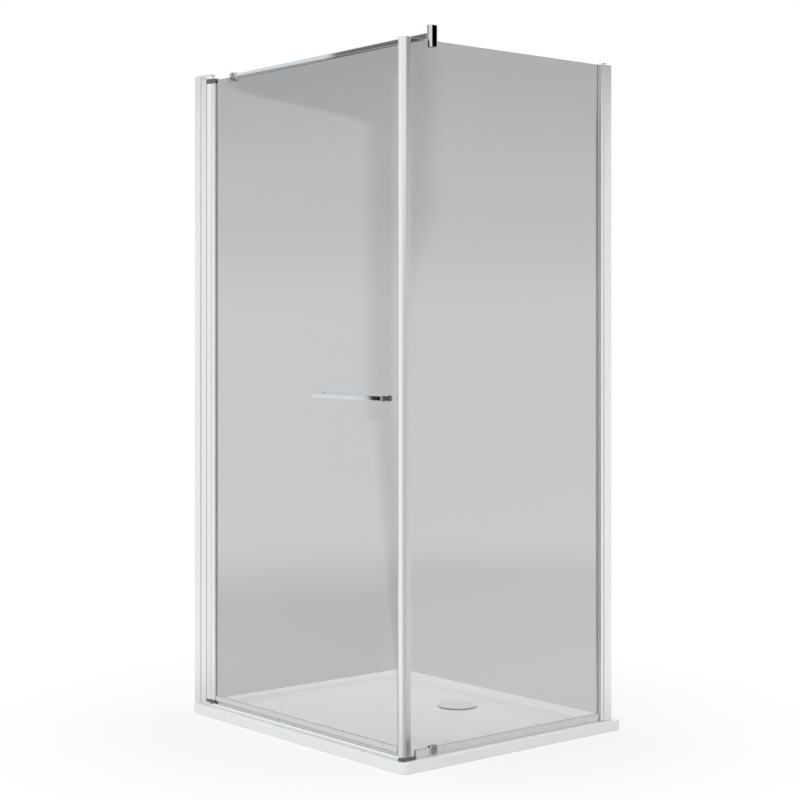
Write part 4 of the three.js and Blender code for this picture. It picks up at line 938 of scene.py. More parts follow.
def make_channels():
    profiles = settings("profiles")
    first = fixing_levels()[0]
    size = size_of("hinge_wall_channel")
    half = size.y / 2
    loop = channel_loop(size.x, half, profiles.channel_wall, profiles.edge)
    sides = (("hinge", at_hinge, 1, (0.0, QUARTER, 0.0), (QUARTER, 0.0, 0.0)),
             ("side", at_side, -1, (QUARTER, 0.0, 0.0), (0.0, QUARTER, 0.0)))
    for side, place, inner, wall_turn, face_turn in sides:
        piece = finish_piece(
            f"{side}_channel_extrusion", extruded([loop], RIM_Z, TOP_Z, place),
            "anodised_upright", "enclosure", [f"{side}_wall_channel"])
        level = first + profiles.fixing_end / 2
        drill(piece, WALL_HOLE_RADIUS, place(0.0, 0.0, level), wall_turn)
        drill(piece, TAP_RADIUS, place(SCREW_REACH, inner * half, first), face_turn)


def hinge_frame_loops():
    profiles = settings("profiles")
    low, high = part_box("hinge_frame_profile")
    half = (high.y - low.y) / 2
    back, wall = low.x - WALL_X, profiles.frame_wall
    reach = PIVOT_X - WALL_X
    seat = profiles.seat_radius
    clear, liner = half - wall, seat + wall
    mouth, liner_mouth = math.asin(half / seat), math.asin(clear / liner)
    web = 30 * MM + wall
    port, bore = 3.4 * MM, 1.7 * MM
    port_x = web + wall + port - bore / 2
    grip = math.acos((port_x - web - wall) / port)
    outer = arc(reach, 0.0, seat, math.pi + mouth, math.pi - mouth, 24)
    outer += [(back, half, profiles.edge), (back, -half, profiles.edge)]
    rear = rectangle(back + wall, -clear, web, clear)
    front = arc(reach, 0.0, liner, math.pi + liner_mouth, math.pi - liner_mouth, 24)
    front += [(web + wall, clear, EASED)]
    front += arc(port_x, 0.0, port, math.pi - grip, grip - math.pi, 24)
    front += [(web + wall, -clear, EASED)]
    return [fillet(outer), fillet(rear, EASED), fillet(front), ring_of(port_x, 0.0, bore, 24)]


def side_frame_loops():
    profiles = settings("profiles")
    low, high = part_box("side_frame_profile")
    half = (high.x - low.x) / 2
    back, reach = WALL_Y - high.y, WALL_Y - low.y
    wall, slot = profiles.frame_wall, profiles.glass_slot / 2
    floor = reach - SIDE_SLOT_DEPTH
    web = floor - 2 * wall - 7 * MM
    clear, jaw = half - wall, slot + wall
    edge = profiles.edge
    outer = [(back, -half, edge), (reach, -half, edge), (reach, -slot, edge / 2),
             (floor, -slot, edge), (floor, slot, edge), (reach, slot, edge / 2),
             (reach, half, edge), (back, half, edge)]
    rooms = [(back + wall, -clear, web, clear), (web + wall, -clear, floor - wall, clear),
             (floor, jaw, reach - wall, clear), (floor, -clear, reach - wall, -jaw)]
    return [fillet(outer)] + [fillet(rectangle(*room), EASED) for room in rooms]


def make_frames():
    half = size_of("hinge_frame_profile").y / 2
    sides = (("hinge", at_hinge, 1, hinge_frame_loops(), (QUARTER, 0.0, 0.0)),
             ("side", at_side, -1, side_frame_loops(), (0.0, QUARTER, 0.0)))
    for side, place, inner, loops, turn in sides:
        low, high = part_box(f"{side}_frame_profile")
        piece = finish_piece(
            f"{side}_frame_extrusion", extruded(loops, low.z, high.z, place),
            "anodised_upright", "enclosure", [f"{side}_frame_profile"])
        drill(piece, TAP_RADIUS, place(SCREW_REACH, inner * half, fixing_levels()[0]), turn)


def make_wall_caps():
    for name, node, width in (("pivot_cap_casting", "pivot_block_top", EASED),
                              ("pivot_foot_casting", "pivot_block_bottom", EASED),
                              ("side_cap_casting", "side_profile_cap", FINE)):
        eased_copy(name, node, "anodised_upright", "enclosure", width)
    paint_nodes(("pivot_pin_bottom", "pivot_pin_top"), "steel")


# Door leaf

def make_pivot_profile():
    profiles = settings("profiles")
    low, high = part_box("door_pivot_profile")
    nose, slot = profiles.nose_radius, profiles.glass_slot / 2
    jaw, reach = 7.5 * MM, high.x - PIVOT_X
    floor = reach - DOOR_SLOT_DEPTH
    edge = profiles.edge
    neck = math.asin(jaw / nose)
    outer = arc(0.0, 0.0, nose, neck, 2 * math.pi - neck, 56)
    outer += [(reach, -jaw, edge), (reach, -slot, edge), (floor, -slot, edge),
              (floor, slot, edge), (reach, slot, edge), (reach, jaw, edge)]
    bore = 5.55 * MM
    wall_out, wall_in = nose - 1.8 * MM, bore + 1.9 * MM
    loops = [fillet(outer), ring_of(0.0, 0.0, bore, 40)]
    for side in (1, -1):
        start, end = side * 0.3 * math.pi, side * 0.9 * math.pi
        loops.append(fillet(
            arc(0.0, 0.0, wall_out, start, end, 20) + arc(0.0, 0.0, wall_in, end, start, 20)))
    finish_piece(
        "pivot_extrusion", extruded(loops, low.z, high.z, at_pivot), "anodised_upright", "door",
        ["door_pivot_profile"])


def make_door_ends():
    for end in ("bottom", "top"):
        eased_copy(f"end_moulding_{end}", f"door_end_piece_{end}", "nylon", "door", SOFT)
        eased_copy(f"bush_moulding_{end}", f"pivot_bush_{end}", "acetal", "door", KEEN)


# Corner, threshold and bar

def make_corner():
    profiles = settings("profiles")
    low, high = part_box("corner_profile")
    nose, wall, slot = profiles.nose_radius, profiles.frame_wall, profiles.glass_slot / 2
    corner_x = high.x - nose
    left, back = low.x - corner_x, high.y - DOOR_Y
    middle_x = nose - wall - slot
    slot_left, slot_right, slot_floor = middle_x - slot, middle_x + slot, 2 * MM
    groove, half = left + 3.4 * MM, 5.5 * MM
    edge, inner_edge = profiles.edge, 0.3 * MM

    def place(x, y, z):
        return (corner_x + x, DOOR_Y + y, z)

    outer = arc(0.0, 0.0, nose, -QUARTER, 0.0, 24)
    outer += [(nose, back, edge), (slot_right, back, edge / 2), (slot_right, slot_floor, edge),
              (slot_left, slot_floor, edge), (slot_left, back, edge / 2), (left, back, edge),
              (left, half, edge / 2), (groove, half, edge / 2), (groove, -half, edge / 2),
              (left, -half, edge / 2), (left, -nose, edge)]
    front = arc(0.0, 0.0, nose - wall, -QUARTER, 0.0, 20)
    front += [(x, y, inner_edge) for x, y in (
        (nose - wall, slot_floor - wall), (groove + wall, slot_floor - wall),
        (groove + wall, -half - wall), (left + wall, -half - wall), (left + wall, wall - nose))]
    rear = rectangle(left + wall, half + wall, slot_left - wall, back - wall)
    finish_piece(
        "corner_extrusion",
        extruded([fillet(outer), fillet(front), fillet(rear, inner_edge)], low.z, high.z, place),
        "anodised_upright", "enclosure", ["corner_profile"])
    for name, node, finish, width in (
            ("corner_cap_casting", "corner_cap", "anodised_upright", EASED),
            ("corner_foot_moulding", "corner_foot", "nylon", SOFT),
            ("magnet_strip_extrusion", "corner_magnetic_strip", "magnet", FINE)):
        eased_copy(name, node, finish, "enclosure", width)


def make_threshold():
    low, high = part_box("threshold_bar")
    top, foot = high.z, low.z
    edge_z, chamfer, wall = foot + 5 * MM, 6 * MM, 1.6 * MM
    front, back = low.y, high.y
    slope = (top - edge_z) / chamfer
    inner = edge_z - wall * slope + wall / 2
    edge = 0.8 * MM
    loop = fillet([
        (front, foot, KEEN), (front + wall, foot, KEEN), (front + wall, inner, EASED),
        (front + chamfer + wall / 2, top - wall, edge), (back - chamfer - wall / 2, top - wall, edge),
        (back - wall, inner, EASED), (back - wall, foot, KEEN), (back, foot, KEEN),
        (back, edge_z, edge), (back - chamfer, top, edge), (front + chamfer, top, edge),
        (front, edge_z, edge)])
    finish_piece(
        "threshold_extrusion", extruded([loop], low.x, high.x, level_x), "anodised_level",
        "enclosure", ["threshold_bar"])


def make_bar():
    """The stabilising tube, from the wall bracket to the clamp, at its own angle in plan."""
    low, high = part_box("stabiliser_bar")
    bracket, clamp = middle("bar_wall_bracket"), middle("top_clamp")
    start = Vector((WALL_X, bracket.y))
    run = Vector((clamp.x, clamp.y)) - start
    along, across = run.normalized(), run.normalized().orthogonal()
    half_width, half_height, wall, radius = 7 * MM, 10 * MM, 1.5 * MM, 3 * MM
    level = (low.z + high.z) / 2

    def place(x, y, z):
        spot = start + along * z + across * x
        return (spot.x, spot.y, level + y)

    bracket_seat, half_clamp, inserted = 6.3 * MM, 9 * MM, 12.7 * MM
    last = run.length - half_clamp + inserted
    outer = fillet(rectangle(-half_width, -half_height, half_width, half_height), radius, 8)
    inner = fillet(rectangle(
        wall - half_width, wall - half_height, half_width - wall, half_height - wall),
        radius - wall, 8)
    finish_piece(
        "bar_tube", extruded([outer, inner], bracket_seat, last, place), "chrome", "enclosure",
        ["stabiliser_bar"])


def make_clamps():
    for name, node in (("bottom_clamp_casting", "bottom_clamp"), ("top_clamp_casting", "top_clamp"),
                       ("bracket_casting", "bar_wall_bracket")):
        eased_copy(name, node, "chrome", "enclosure", EASED)
    paint_nodes(("bottom_clamp_pads", "top_clamp_pads"), "rubber")


# Glass and seals

def pane(outline, holes, low, high, arris, place):
    """A pane with a ground arris on every edge, drawn in its own plane."""
    points, faces = [], []
    edge_faces = []

    def add_ring(loop, depth):
        start = len(points)
        points.extend(place(x, y, depth) for x, y, *_ in loop)
        return [start + i for i in range(len(loop))]

    face_rings = {low: [], high: []}
    for loop, inward in [(outline, 1)] + [(hole, -1) for hole in holes]:
        shrunk = offset_loop(loop, inward * arris)
        rings = [add_ring(shrunk, low), add_ring(loop, low + arris),
                 add_ring(loop, high - arris), add_ring(shrunk, high)]
        face_rings[low].append((shrunk, rings[0]))
        face_rings[high].append((shrunk, rings[-1]))
        for one, two in zip(rings, rings[1:]):
            for i in range(len(one)):
                after = (i + 1) % len(one)
                edge_faces.append((one[i], one[after], two[after], two[i]))
    for side in (low, high):
        loops = [[Vector((x, y, 0.0)) for x, y, *_ in loop] for loop, _ in face_rings[side]]
        index = [i for _, ring in face_rings[side] for i in ring]
        faces += [tuple(index[i] for i in tri) for tri in tessellate_polygon(loops)]
    return points, faces + edge_faces


def offset_loop(loop, inset):
    """A loop moved inwards by inset, or outwards where it is less than nothing."""
    flat = [Vector(p[:2]) for p in loop]
    area = sum(a.x * b.y - b.x * a.y for a, b in zip(flat, flat[1:] + flat[:1]))
    turn = 1 if area > 0 else -1
    moved = []
    for i, here in enumerate(flat):
        back = (here - flat[i - 1]).normalized()
        ahead = (flat[(i + 1) % len(flat)] - here).normalized()
        normals = [Vector((-d.y, d.x)) * turn for d in (back, ahead)]
        middle_way = (normals[0] + normals[1]).normalized()
        moved.append(tuple(here + middle_way * (inset / middle_way.dot(normals[0]))))
    return moved


def make_panes():
    glazing = settings("glazing")
    low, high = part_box("door_glass")
    posts = [middle(f"handle_post_{end}") for end in ("left", "right")]
    outline = fillet(rectangle(low.x, low.z, high.x, high.z), 1.5 * MM, 4)
    holes = [ring_of(post.x, post.z, glazing.hole_radius, 40) for post in posts]
    door = finish_piece(
        "door_pane", pane(outline, holes, low.y, high.y, glazing.arris, level_y), "glass", "door",
        ["door_glass"], GLASS_SHARP)
    low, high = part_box("side_glass")
    outline = fillet(rectangle(low.y, low.z, high.y, high.z), 1.5 * MM, 4)
    side = finish_piece(
        "side_pane", pane(outline, [], low.x, high.x, glazing.arris, level_x), "glass",
        "enclosure", ["side_glass"], GLASS_SHARP)
    for piece, axis in ((door, 1), (side, 0)):
        piece.data.materials.append(FINISHES["glass_edge"])
        for face in piece.data.polygons:
            face.material_index = 0 if abs(face.normal[axis]) > 0.9 else 1


# Half the slot and half the width of the clear seals that clip on the glass
SEAL_INNER = 3.2 * MM
SEAL_OUTER = 5 * MM


def gasket_loop(depth, half_slot):
    """A glazing rubber's U, with soft lips that lie on the glass."""
    floor, lip, half_glass = 1.5 * MM, 1.3 * MM, 3 * MM
    outer, inner, mouth = half_slot - SEAT_GAP, half_glass + SEAT_GAP, depth + lip
    side = [(SEAT_GAP, outer, FINE), (depth, outer, SOFT),
            (mouth, inner + SEAT_GAP, HAIR), (mouth, inner, HAIR),
            (SEAT_GAP + floor, inner, EASED)]
    return fillet(side + [(x, -y, r) for x, y, r in reversed(side)])


def make_gaskets():
    slot = settings("profiles").glass_slot / 2
    sides = (
        ("door", "door", DOOR_SLOT_DEPTH, lambda x, y, z: (low.x - SEAT_GAP + x, DOOR_Y + y, z)),
        ("side", "enclosure", SIDE_SLOT_DEPTH,
         lambda x, y, z: (SIDE_X + y, high.y + SEAT_GAP - x, z)),
        ("corner", "enclosure", CORNER_SLOT_DEPTH,
         lambda x, y, z: (SIDE_X + y, low.y - SEAT_GAP + x, z)))
    for side, body, depth, place in sides:
        node = f"{side}_glazing_gasket"
        low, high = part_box(node)
        strip = extruded([gasket_loop(depth, slot)], low.z, high.z, place)
        finish_piece(f"{side}_glazing_strip", strip, "gasket", body, [node])


def make_bottom_seal():
    low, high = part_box("door_bottom_seal")
    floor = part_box("door_glass")[0].z - SEAT_GAP
    foot, lip, spread = floor - 5.8 * MM, 0.8 * MM, 3 * MM
    inner, outer = SEAL_INNER, SEAL_OUTER
    loop = fillet([
        (-outer, foot, FULL), (-lip, foot, EASED), (spread - lip, low.z, SOFT),
        (spread + lip, low.z, SOFT), (lip, foot, EASED), (outer, foot, FULL),
        (outer, high.z, SOFT), (inner, high.z, CRISP), (inner, floor, FINE),
        (-inner, floor, FINE), (-inner, high.z, CRISP), (-outer, high.z, SOFT)])
    section = [(DOOR_Y + x, z) for x, z in loop]
    finish_piece(
        "door_seal_extrusion", extruded([section], low.x, high.x, level_x), "vinyl", "door",
        ["door_bottom_seal"])


def make_side_seals():
    wall = 1.8 * MM
    inner, outer = SEAL_INNER, SEAL_OUTER
    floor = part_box("side_glass")[0].z - SEAT_GAP
    for end in ("front", "rear"):
        low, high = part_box(f"side_seal_{end}")
        skin = fillet([
            (-outer, low.z, ROUND), (outer, low.z, ROUND), (outer, high.z, BLUNT),
            (inner, high.z, CRISP), (inner, floor, FINE), (-inner, floor, FINE),
            (-inner, high.z, CRISP), (-outer, high.z, BLUNT)])
        room = fillet(rectangle(-inner, low.z + wall, inner, floor - wall), BLUNT)
        loops = [[(SIDE_X + x, z) for x, z in ring] for ring in (skin, room)]
        finish_piece(
            f"side_seal_extrusion_{end}", extruded(loops, low.y, high.y, level_y), "vinyl",
            "enclosure", [f"side_seal_{end}"])


def make_magnet_seal():
    low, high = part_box("door_magnetic_seal")
    inner, edge, web = SEAL_INNER, high.x, high.x - 7.2 * MM
    tip, neck, leg, head = web - 7 * MM, edge - 4.5 * MM, inner + 1.2 * MM, 5 * MM
    half = [(edge, head, ROUND), (neck, head, SOFT), (neck - 1.2 * MM, leg, SOFT),
            (tip, leg, EASED), (tip, inner, CRISP), (web, inner, FINE)]
    loop = fillet(half + [(x, -y, r) for x, y, r in reversed(half)])
    section = [(x, DOOR_Y + y) for x, y in loop]
    finish_piece(
        "magnet_seal_extrusion", extruded([section], low.z, high.z, upright), "magnet", "door",
        ["door_magnetic_seal"])


# Handle

def make_rail():
    handle = settings("handle")
    low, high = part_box("handle_rail")
    rail = rounded_block((low.y, low.z, low.x), (high.y, high.z, high.x),
                         handle.section_radius, handle.end_round, level_x)
    finish_piece("rail_bar", rail, "chrome", "door", ["handle_rail"])


def out_of_glass(node):
    """How far a node of the handle reaches from the pane's outer face, furthest first."""
    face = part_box("door_glass")[0].y
    low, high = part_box(node)
    return face - low.y, face - high.y


def handle_place(end):
    """The axes of one post: across and up in the pane, and out of its outer face."""
    spot = middle(f"handle_post_{end}")
    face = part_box("door_glass")[0].y
    return lambda x, y, z: (spot.x + x, face - z, spot.z + y)


def make_post(end):
    handle, node, place = settings("handle"), f"handle_post_{end}", handle_place(end)
    out, root = out_of_glass(node)
    half = size_of(node).x / 2
    bore, tip, ease = handle.bolt_radius + CLEARANCE, 13.3 * MM, 0.4 * MM
    section = fillet(rectangle(-half, -half, half, half), handle.section_radius, 6)
    eased = offset_loop(section, ease)
    rings = [circle_like(section, 0.0, 0.0, bore, z) for z in (tip, root)]
    rings += [[(x, y, z) for x, y in ring] for ring, z in (
        (eased, root), (section, root + ease), (section, out))]
    finish_piece(
        f"post_casting_{end}", lofted([[place(*p) for p in ring] for ring in rings]), "chrome",
        "door", [node])


def make_sleeve(end):
    node = f"handle_sleeve_{end}"
    bore = settings("handle").bolt_radius + CLEARANCE
    thin, seat = out_of_glass(node)
    washer, collar = size_of(node).x / 2, 5.7 * MM
    sleeve = fillet([
        (bore, seat, KEEN), (collar, seat, FINE), (collar, 0.0, 0.0),
        (washer, 0.0, KEEN), (washer, thin, FINE), (bore, thin, 0.0)])
    finish_piece(
        f"sleeve_moulding_{end}", turned(sleeve, handle_place(end), 64), "vinyl", "door", [node])


def make_cap(end):
    handle, node = settings("handle"), f"handle_inner_cap_{end}"
    bolt_tip, face = out_of_glass(node)
    seat, radius, socket, bolt = -6 * MM, handle.cap_radius, 2 * MM, handle.bolt_radius
    face_round = 1.6 * MM
    cap = fillet([
        (0.0, face + socket, 0.0), (socket, face + socket, 0.0), (socket, face, 0.0),
        (radius, face, face_round), (radius, seat, FINE), (bolt, seat, 0.0),
        (bolt, bolt_tip, SOFT), (0.0, bolt_tip, 0.0)])
    finish_piece(
        f"cap_turned_{end}", turned(cap, handle_place(end), 60, hexagon=(1, 2)), "chrome",
        "door", [node])


# Screws

def screw_shape(name, head_radius, head, shank_radius, shank, socket_radius, socket):
    """One screw on the Z axis, its head over zero and its threaded shank under it."""
    pitch = 1.2 * MM
    threads = []
    depth = -0.6 * MM
    while depth > -shank + pitch:
        threads += [(shank_radius, depth), (shank_radius * 0.84, depth - pitch / 2)]
        depth -= pitch
    profile = [
        (0.0, head - socket), (socket_radius, head - socket), (socket_radius, head),
        (head_radius * 0.75, head), (head_radius * 0.93, head * 0.8), (head_radius, head * 0.35),
        (head_radius, 0.0), (shank_radius, 0.0), *threads, (shank_radius * 0.7, -shank), (0.0, -shank)]
    return turned_screw(name, profile)


def grub_shape(name, radius, size, hex_radius, hex_depth):
    """A grub screw on the Z axis, its socket up, from zero to its length."""
    bevel = 0.3 * MM
    profile = [
        (0.0, size - hex_depth), (hex_radius, size - hex_depth), (hex_radius, size),
        (radius - bevel, size), (radius, size - bevel)]
    depth = size - bevel - 0.4 * MM
    while depth > 0.8 * MM:
        profile += [(radius * 0.88, depth), (radius, depth - 0.4 * MM)]
        depth -= 0.8 * MM
    profile += [(radius - bevel, 0.0), (0.0, 0.0)]
    return turned_screw(name, profile)


def turned_screw(name, profile):
    """An object of a screw with a hexagon socket, for the rows to copy."""
    part = turned(profile, upright, 36, hexagon=(1, 2))
    return bpy.data.objects.new(name, closed_mesh(name, shape_of(part)))


def set_screws(name, screw, start, step, turn, count, nodes):
    """A row of like screws as one piece."""
    piece = bpy.data.objects.new(name, bpy.data.meshes.new(name))
    bpy.context.scene.collection.objects.link(piece)
    grow(piece, bpy.data.node_groups["screw_row"], {
        "Screw": screw, "Start": start, "Step": step, "Turn": turn, "Count": count,
        "Material": FINISHES["steel"]})
    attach(piece, "enclosure")
    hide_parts(*nodes)


def make_screws():
    first, pitch = fixing_levels()
    count = settings("profiles").fixing_count
    up, level = (0.0, 0.0, 0.0), (0.0, 0.0, pitch)
    half = size_of("hinge_wall_channel").y / 2
    adjusting = screw_shape("adjusting_screw", 3.6 * MM, 1.8 * MM, 1.75 * MM, 9 * MM,
                            1.2 * MM, 1.0 * MM)
    for side, place, inner, turn in (("hinge", at_hinge, 1, (-QUARTER, 0.0, 0.0)),
                                     ("side", at_side, -1, (0.0, -QUARTER, 0.0))):
        nodes = [f"{side}_adjusting_screw_{i + 1}" for i in range(count)]
        set_screws(f"{side}_adjusting_screws", adjusting,
                   place(SCREW_REACH, inner * half, first), level, turn, count, nodes)
    block_head = 2 * MM
    block = screw_shape(
        "block_screw", 3 * MM, block_head, 1.5 * MM, 20 * MM, 1.1 * MM, 1.1 * MM)
    for end, over, turn in (("bottom", False, (math.pi, 0.0, 0.0)), ("top", True, up)):
        low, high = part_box(f"pivot_block_screw_{end}")
        spot = (low + high) / 2
        seat = high.z - block_head if over else low.z + block_head
        set_screws(f"pivot_screw_{end}", block, (spot.x, spot.y, seat), up, turn, 1,
                   [f"pivot_block_screw_{end}"])
    short, long_grub = (
        grub_shape(name, 2.4 * MM, size, 1.2 * MM, 1.6 * MM)
        for name, size in (("short_grub", 3.6 * MM), ("long_grub", 12 * MM)))
    for node, screw, turn in (("bottom_clamp_screw", short, (0.0, -QUARTER, 0.0)),
                              ("top_clamp_glass_screw", short, (0.0, -QUARTER, 0.0)),
                              ("top_clamp_bar_screw", long_grub, up),
                              ("bar_bracket_screw", short, up)):
        low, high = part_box(node)
        spot = (low + high) / 2
        start = (high.x, spot.y, spot.z) if turn != up else (spot.x, spot.y, low.z)
        set_screws(f"{node}_grub", screw, start, up, turn, 1, [node])
    for screw in (adjusting, block, short, long_grub):
        bpy.data.objects.remove(screw)


# Studio. The camera's sensor is in mm, as the renderer wants it

FLOOR_REACH = 14.0
VIEW_REACH = 100.0
SENSOR_WIDTH = 36.0


def mirrored_light(tree, direction):
    """How light the studio is in a direction that metal mirrors: white but for dark screens.

    The headings are in degrees from +X. Two narrow screens reach further round over head
    height, and the panes mirror softer edges of them than chrome does. Between them, on the
    side of the camera, the room is a little dimmer up to head height.
    """
    axes = add(tree, "ShaderNodeSeparateXYZ", {0: direction}).outputs
    heading = formula(tree, ("ARCTAN2", axes["Y"], axes["X"]))
    rise = formula(tree, ("ARCSINE", axes["Z"]))
    pane = add(tree, "ShaderNodeLightPath").outputs["Is Singular Ray"]
    blur = formula(tree, ("MULTIPLY", pane, math.radians(0.3)))

    def step(angle, start, end, low=0.0, high=1.0):
        return ("SMOOTH", angle, math.radians(start), math.radians(end), low, high)

    def soft_step(angle, start, end, low=0.0, high=1.0):
        return ("SMOOTH", angle, ("SUBTRACT", math.radians(start), blur),
                ("ADD", blur, math.radians(end)), low, high)

    left_edge = ("ADD", heading, step(rise, 6.8, 8.2, 0.0, math.radians(4.6)))
    left_end = ("SUBTRACT", heading, step(rise, 8.4, 9.0, 0.0, math.radians(1.8)))
    left = ("MULTIPLY", soft_step(left_edge, -141.05, -140.85),
            step(left_end, -140.3, -139.9, 1.0, 0.0))
    left = ("MULTIPLY", left, step(rise, 3.0, 9.0, 0.97, 0.78))
    overhead = ("MULTIPLY", step(rise, 8.6, 9.2, 0.0, math.radians(14)), ("SUBTRACT", 1.0, pane))
    reach = ("ADD", step(rise, 0.5, 4.5, 0.0, math.radians(1)), overhead)
    right = ("MULTIPLY", soft_step(("SUBTRACT", heading, reach), 39.95, 40.35, 1.0, 0.0),
             step(heading, 36.5, 38.5))
    dim = ("MULTIPLY", step(heading, -75, -20, 0.0, 0.42), step(heading, 34, 38, 1.0, 0.0))
    dim = ("MULTIPLY", dim, step(rise, 2.0, 6.5, 1.0, 0.0))
    return formula(tree, ("SUBTRACT", 1.0, ("MAXIMUM", dim, ("MAXIMUM", left, right))))


def seen_light(tree, mirrored, behind, ahead=0.0):
    """Light by kind of ray: white for the camera, one level for metal and one behind glass.

    A ray that was mirrored on its way through a pane gets both levels; ahead is what the
    renderer adds to its count of bounces. Also whether the ray came through a pane or off
    metal, and whether it is any of the three.
    """
    path = add(tree, "ShaderNodeLightPath").outputs
    camera, through = path["Is Camera Ray"], path["Is Transmission Ray"]
    metal = formula(tree, ("MAXIMUM", 0.0, ("SUBTRACT", path["Is Glossy Ray"], through)))
    bounced = ("GREATER_THAN", path["Ray Depth"], ("ADD", path["Transmission Depth"], ahead))
    both = ("MULTIPLY", behind, ("MULTIPLY_ADD", bounced, ("SUBTRACT", mirrored, 1.0), 1.0))
    inner = formula(tree, ("MAXIMUM", metal, through))
    total = formula(tree, ("ADD", camera, (
        "ADD", ("MULTIPLY", metal, mirrored), ("MULTIPLY", through, both))))
    return total, inner, formula(tree, ("MAXIMUM", camera, inner))


def lit_floor(base, painted_backing_shade, heading):
    # A plain pale floor: the camera sees it go to white a little way from the tray, while near the
    # tray it still takes the shadow. For metal to mirror, painted shade darkens it near the tray, with
    # a painted dark patch beside the bottom clamp. The panes show it as the pale grey of the backdrop
    # behind them, which is painted shade, and more painted shade deepens that near the tray, most on
    # the side of the hinge wall
    made, tree = empty_material("studio_floor")
    place = add(tree, "ShaderNodeTexCoord").outputs["Object"]
    away = add(tree, "ShaderNodeVectorMath", {0: place}, operation="LENGTH").outputs["Value"]
    corner, wall_corner = (
        add(tree, "ShaderNodeVectorMath", {0: place, 1: (x, y, 0.0)}, operation="SUBTRACT")
        for x, y in ((SIDE_X, DOOR_Y), (WALL_X, WALL_Y)))
    # Painted dark patch on the floor beside the bottom clamp, which with painted shade near the tray
    # only metal mirrors
    painted_dark_patch = (SIDE_X + 170 * MM, DOOR_Y + 230 * MM, 0.0)
    from_painted_dark_patch = add(tree, "ShaderNodeVectorMath", {
        0: place, 1: painted_dark_patch}, operation="DISTANCE").outputs["Value"]
    across = add(tree, "ShaderNodeVectorMath", {
        0: wall_corner, 1: (math.cos(heading), math.sin(heading), 0.0)},
        operation="DOT_PRODUCT").outputs["Value"]
    mirrored = formula(tree, ("MULTIPLY", mirrored_light(tree, corner), (
        "MINIMUM", ("SMOOTH", away, 0.65, 1.5, 0.8, 1.0),
        ("SMOOTH", from_painted_dark_patch, 0.1, 0.16, 0.3, 1.0))))
    # Painted shade seen through the panes: the backdrop's grey, deeper near the tray and most on the
    # side of the hinge wall
    behind = formula(tree, ("MULTIPLY", painted_backing_shade, (
        "MAXIMUM", ("SMOOTH", across, -0.06, 0.06, 0.76, 0.86),
        ("SMOOTH", away, 1.2, 5.0, 0.7, 1.0))))
    light, inner, seen = seen_light(tree, mirrored, behind)
    white = formula(tree, ("MAXIMUM", inner, (
        "MULTIPLY", ("SMOOTH", away, 0.6, 1.4, 0.6, 1.0), seen)))
    matt = add(tree, "ShaderNodeBsdfDiffuse", {"Color": (*base, 1.0)})
    glow = add(tree, "ShaderNodeEmission", {"Color": (1.0, 1.0, 1.0, 1.0), "Strength": light})
    mix = add(tree, "ShaderNodeMixShader", {0: white, 1: matt, 2: glow})
    add(tree, "ShaderNodeOutputMaterial", {"Surface": mix})
    return made


def studio_world(level, painted_backing_shade):
    """Even light all round, a white backdrop with painted shade that makes it pale grey behind the
    panes, and screens.
    """
    world = bpy.data.worlds.new("studio")
    bpy.context.scene.world = world
    world.use_nodes = True
    tree = world.node_tree
    tree.nodes.clear()
    place = add(tree, "ShaderNodeTexCoord").outputs["Generated"]
    light, _, seen = seen_light(tree, mirrored_light(tree, place), painted_backing_shade, ahead=1.0)
    strength = formula(tree, ("ADD", light, ("MULTIPLY", level, ("SUBTRACT", 1.0, seen))))
    backdrop = add(tree, "ShaderNodeBackground", {
        "Color": (1.0, 1.0, 1.0, 1.0), "Strength": strength})
    add(tree, "ShaderNodeOutputWorld", {"Surface": backdrop})


def soft_lamp(name, spot, target, size, power):
    data = bpy.data.lights.new(name, "AREA")
    data.shape = "RECTANGLE"
    data.size, data.size_y = size
    data.energy = power
    lamp = bpy.data.objects.new(name, data)
    aim = (Vector(target) - Vector(spot)).to_track_quat("-Z", "Y")
    lamp.matrix_world = Matrix.Translation(spot) @ aim.to_matrix().to_4x4()
    lamp.visible_glossy = lamp.visible_transmission = lamp.visible_camera = False
    bpy.context.scene.collection.objects.link(lamp)


def make_stage():
    studio = settings("studio")
    scene = bpy.context.scene
    mesh = bpy.data.meshes.new("studio_floor")
    corners = [(x, y, 0.0) for x, y in rectangle(-FLOOR_REACH, -FLOOR_REACH, FLOOR_REACH, FLOOR_REACH)]
    mesh.from_pydata(corners, [], [(0, 1, 2, 3)])
    mesh.materials.append(lit_floor(studio.floor, studio.painted_backing_shade, studio.heading))
    floor = bpy.data.objects.new("studio_floor", mesh)
    scene.collection.objects.link(floor)
    studio_world(studio.sky_level, studio.painted_backing_shade)
    for name, spot, target, size, power in (
            ("ceiling_softbox", (0.2, -0.2, 4.6), (0.0, 0.0, 0.0), (3.2, 3.2), studio.ceiling_power),
            ("front_softbox", (1.0, -4.6, 2.6), (0.0, 0.0, 0.9), (4.4, 3.6), studio.front_power)):
        soft_lamp(name, spot, target, size, power)
    data = bpy.data.cameras.new("camera")
    data.lens, data.sensor_width, data.sensor_fit = studio.lens, SENSOR_WIDTH, "HORIZONTAL"
    data.shift_x, data.shift_y = studio.shift
    data.clip_end = VIEW_REACH
    camera = bpy.data.objects.new("camera", data)
    camera.location = studio.eye
    camera.rotation_euler = (QUARTER, 0.0, studio.heading)
    scene.collection.objects.link(camera)
    scene.camera = camera
    scene.view_settings.view_transform = "Standard"


# Operators

class StageOperator(bpy.types.Operator):
    """Set the floor, the lamps, the backdrop and the camera"""
    bl_idname = "enclosure.stage"
    bl_label = "Stage"

    def execute(self, context):
        make_stage()
        return {"FINISHED"}


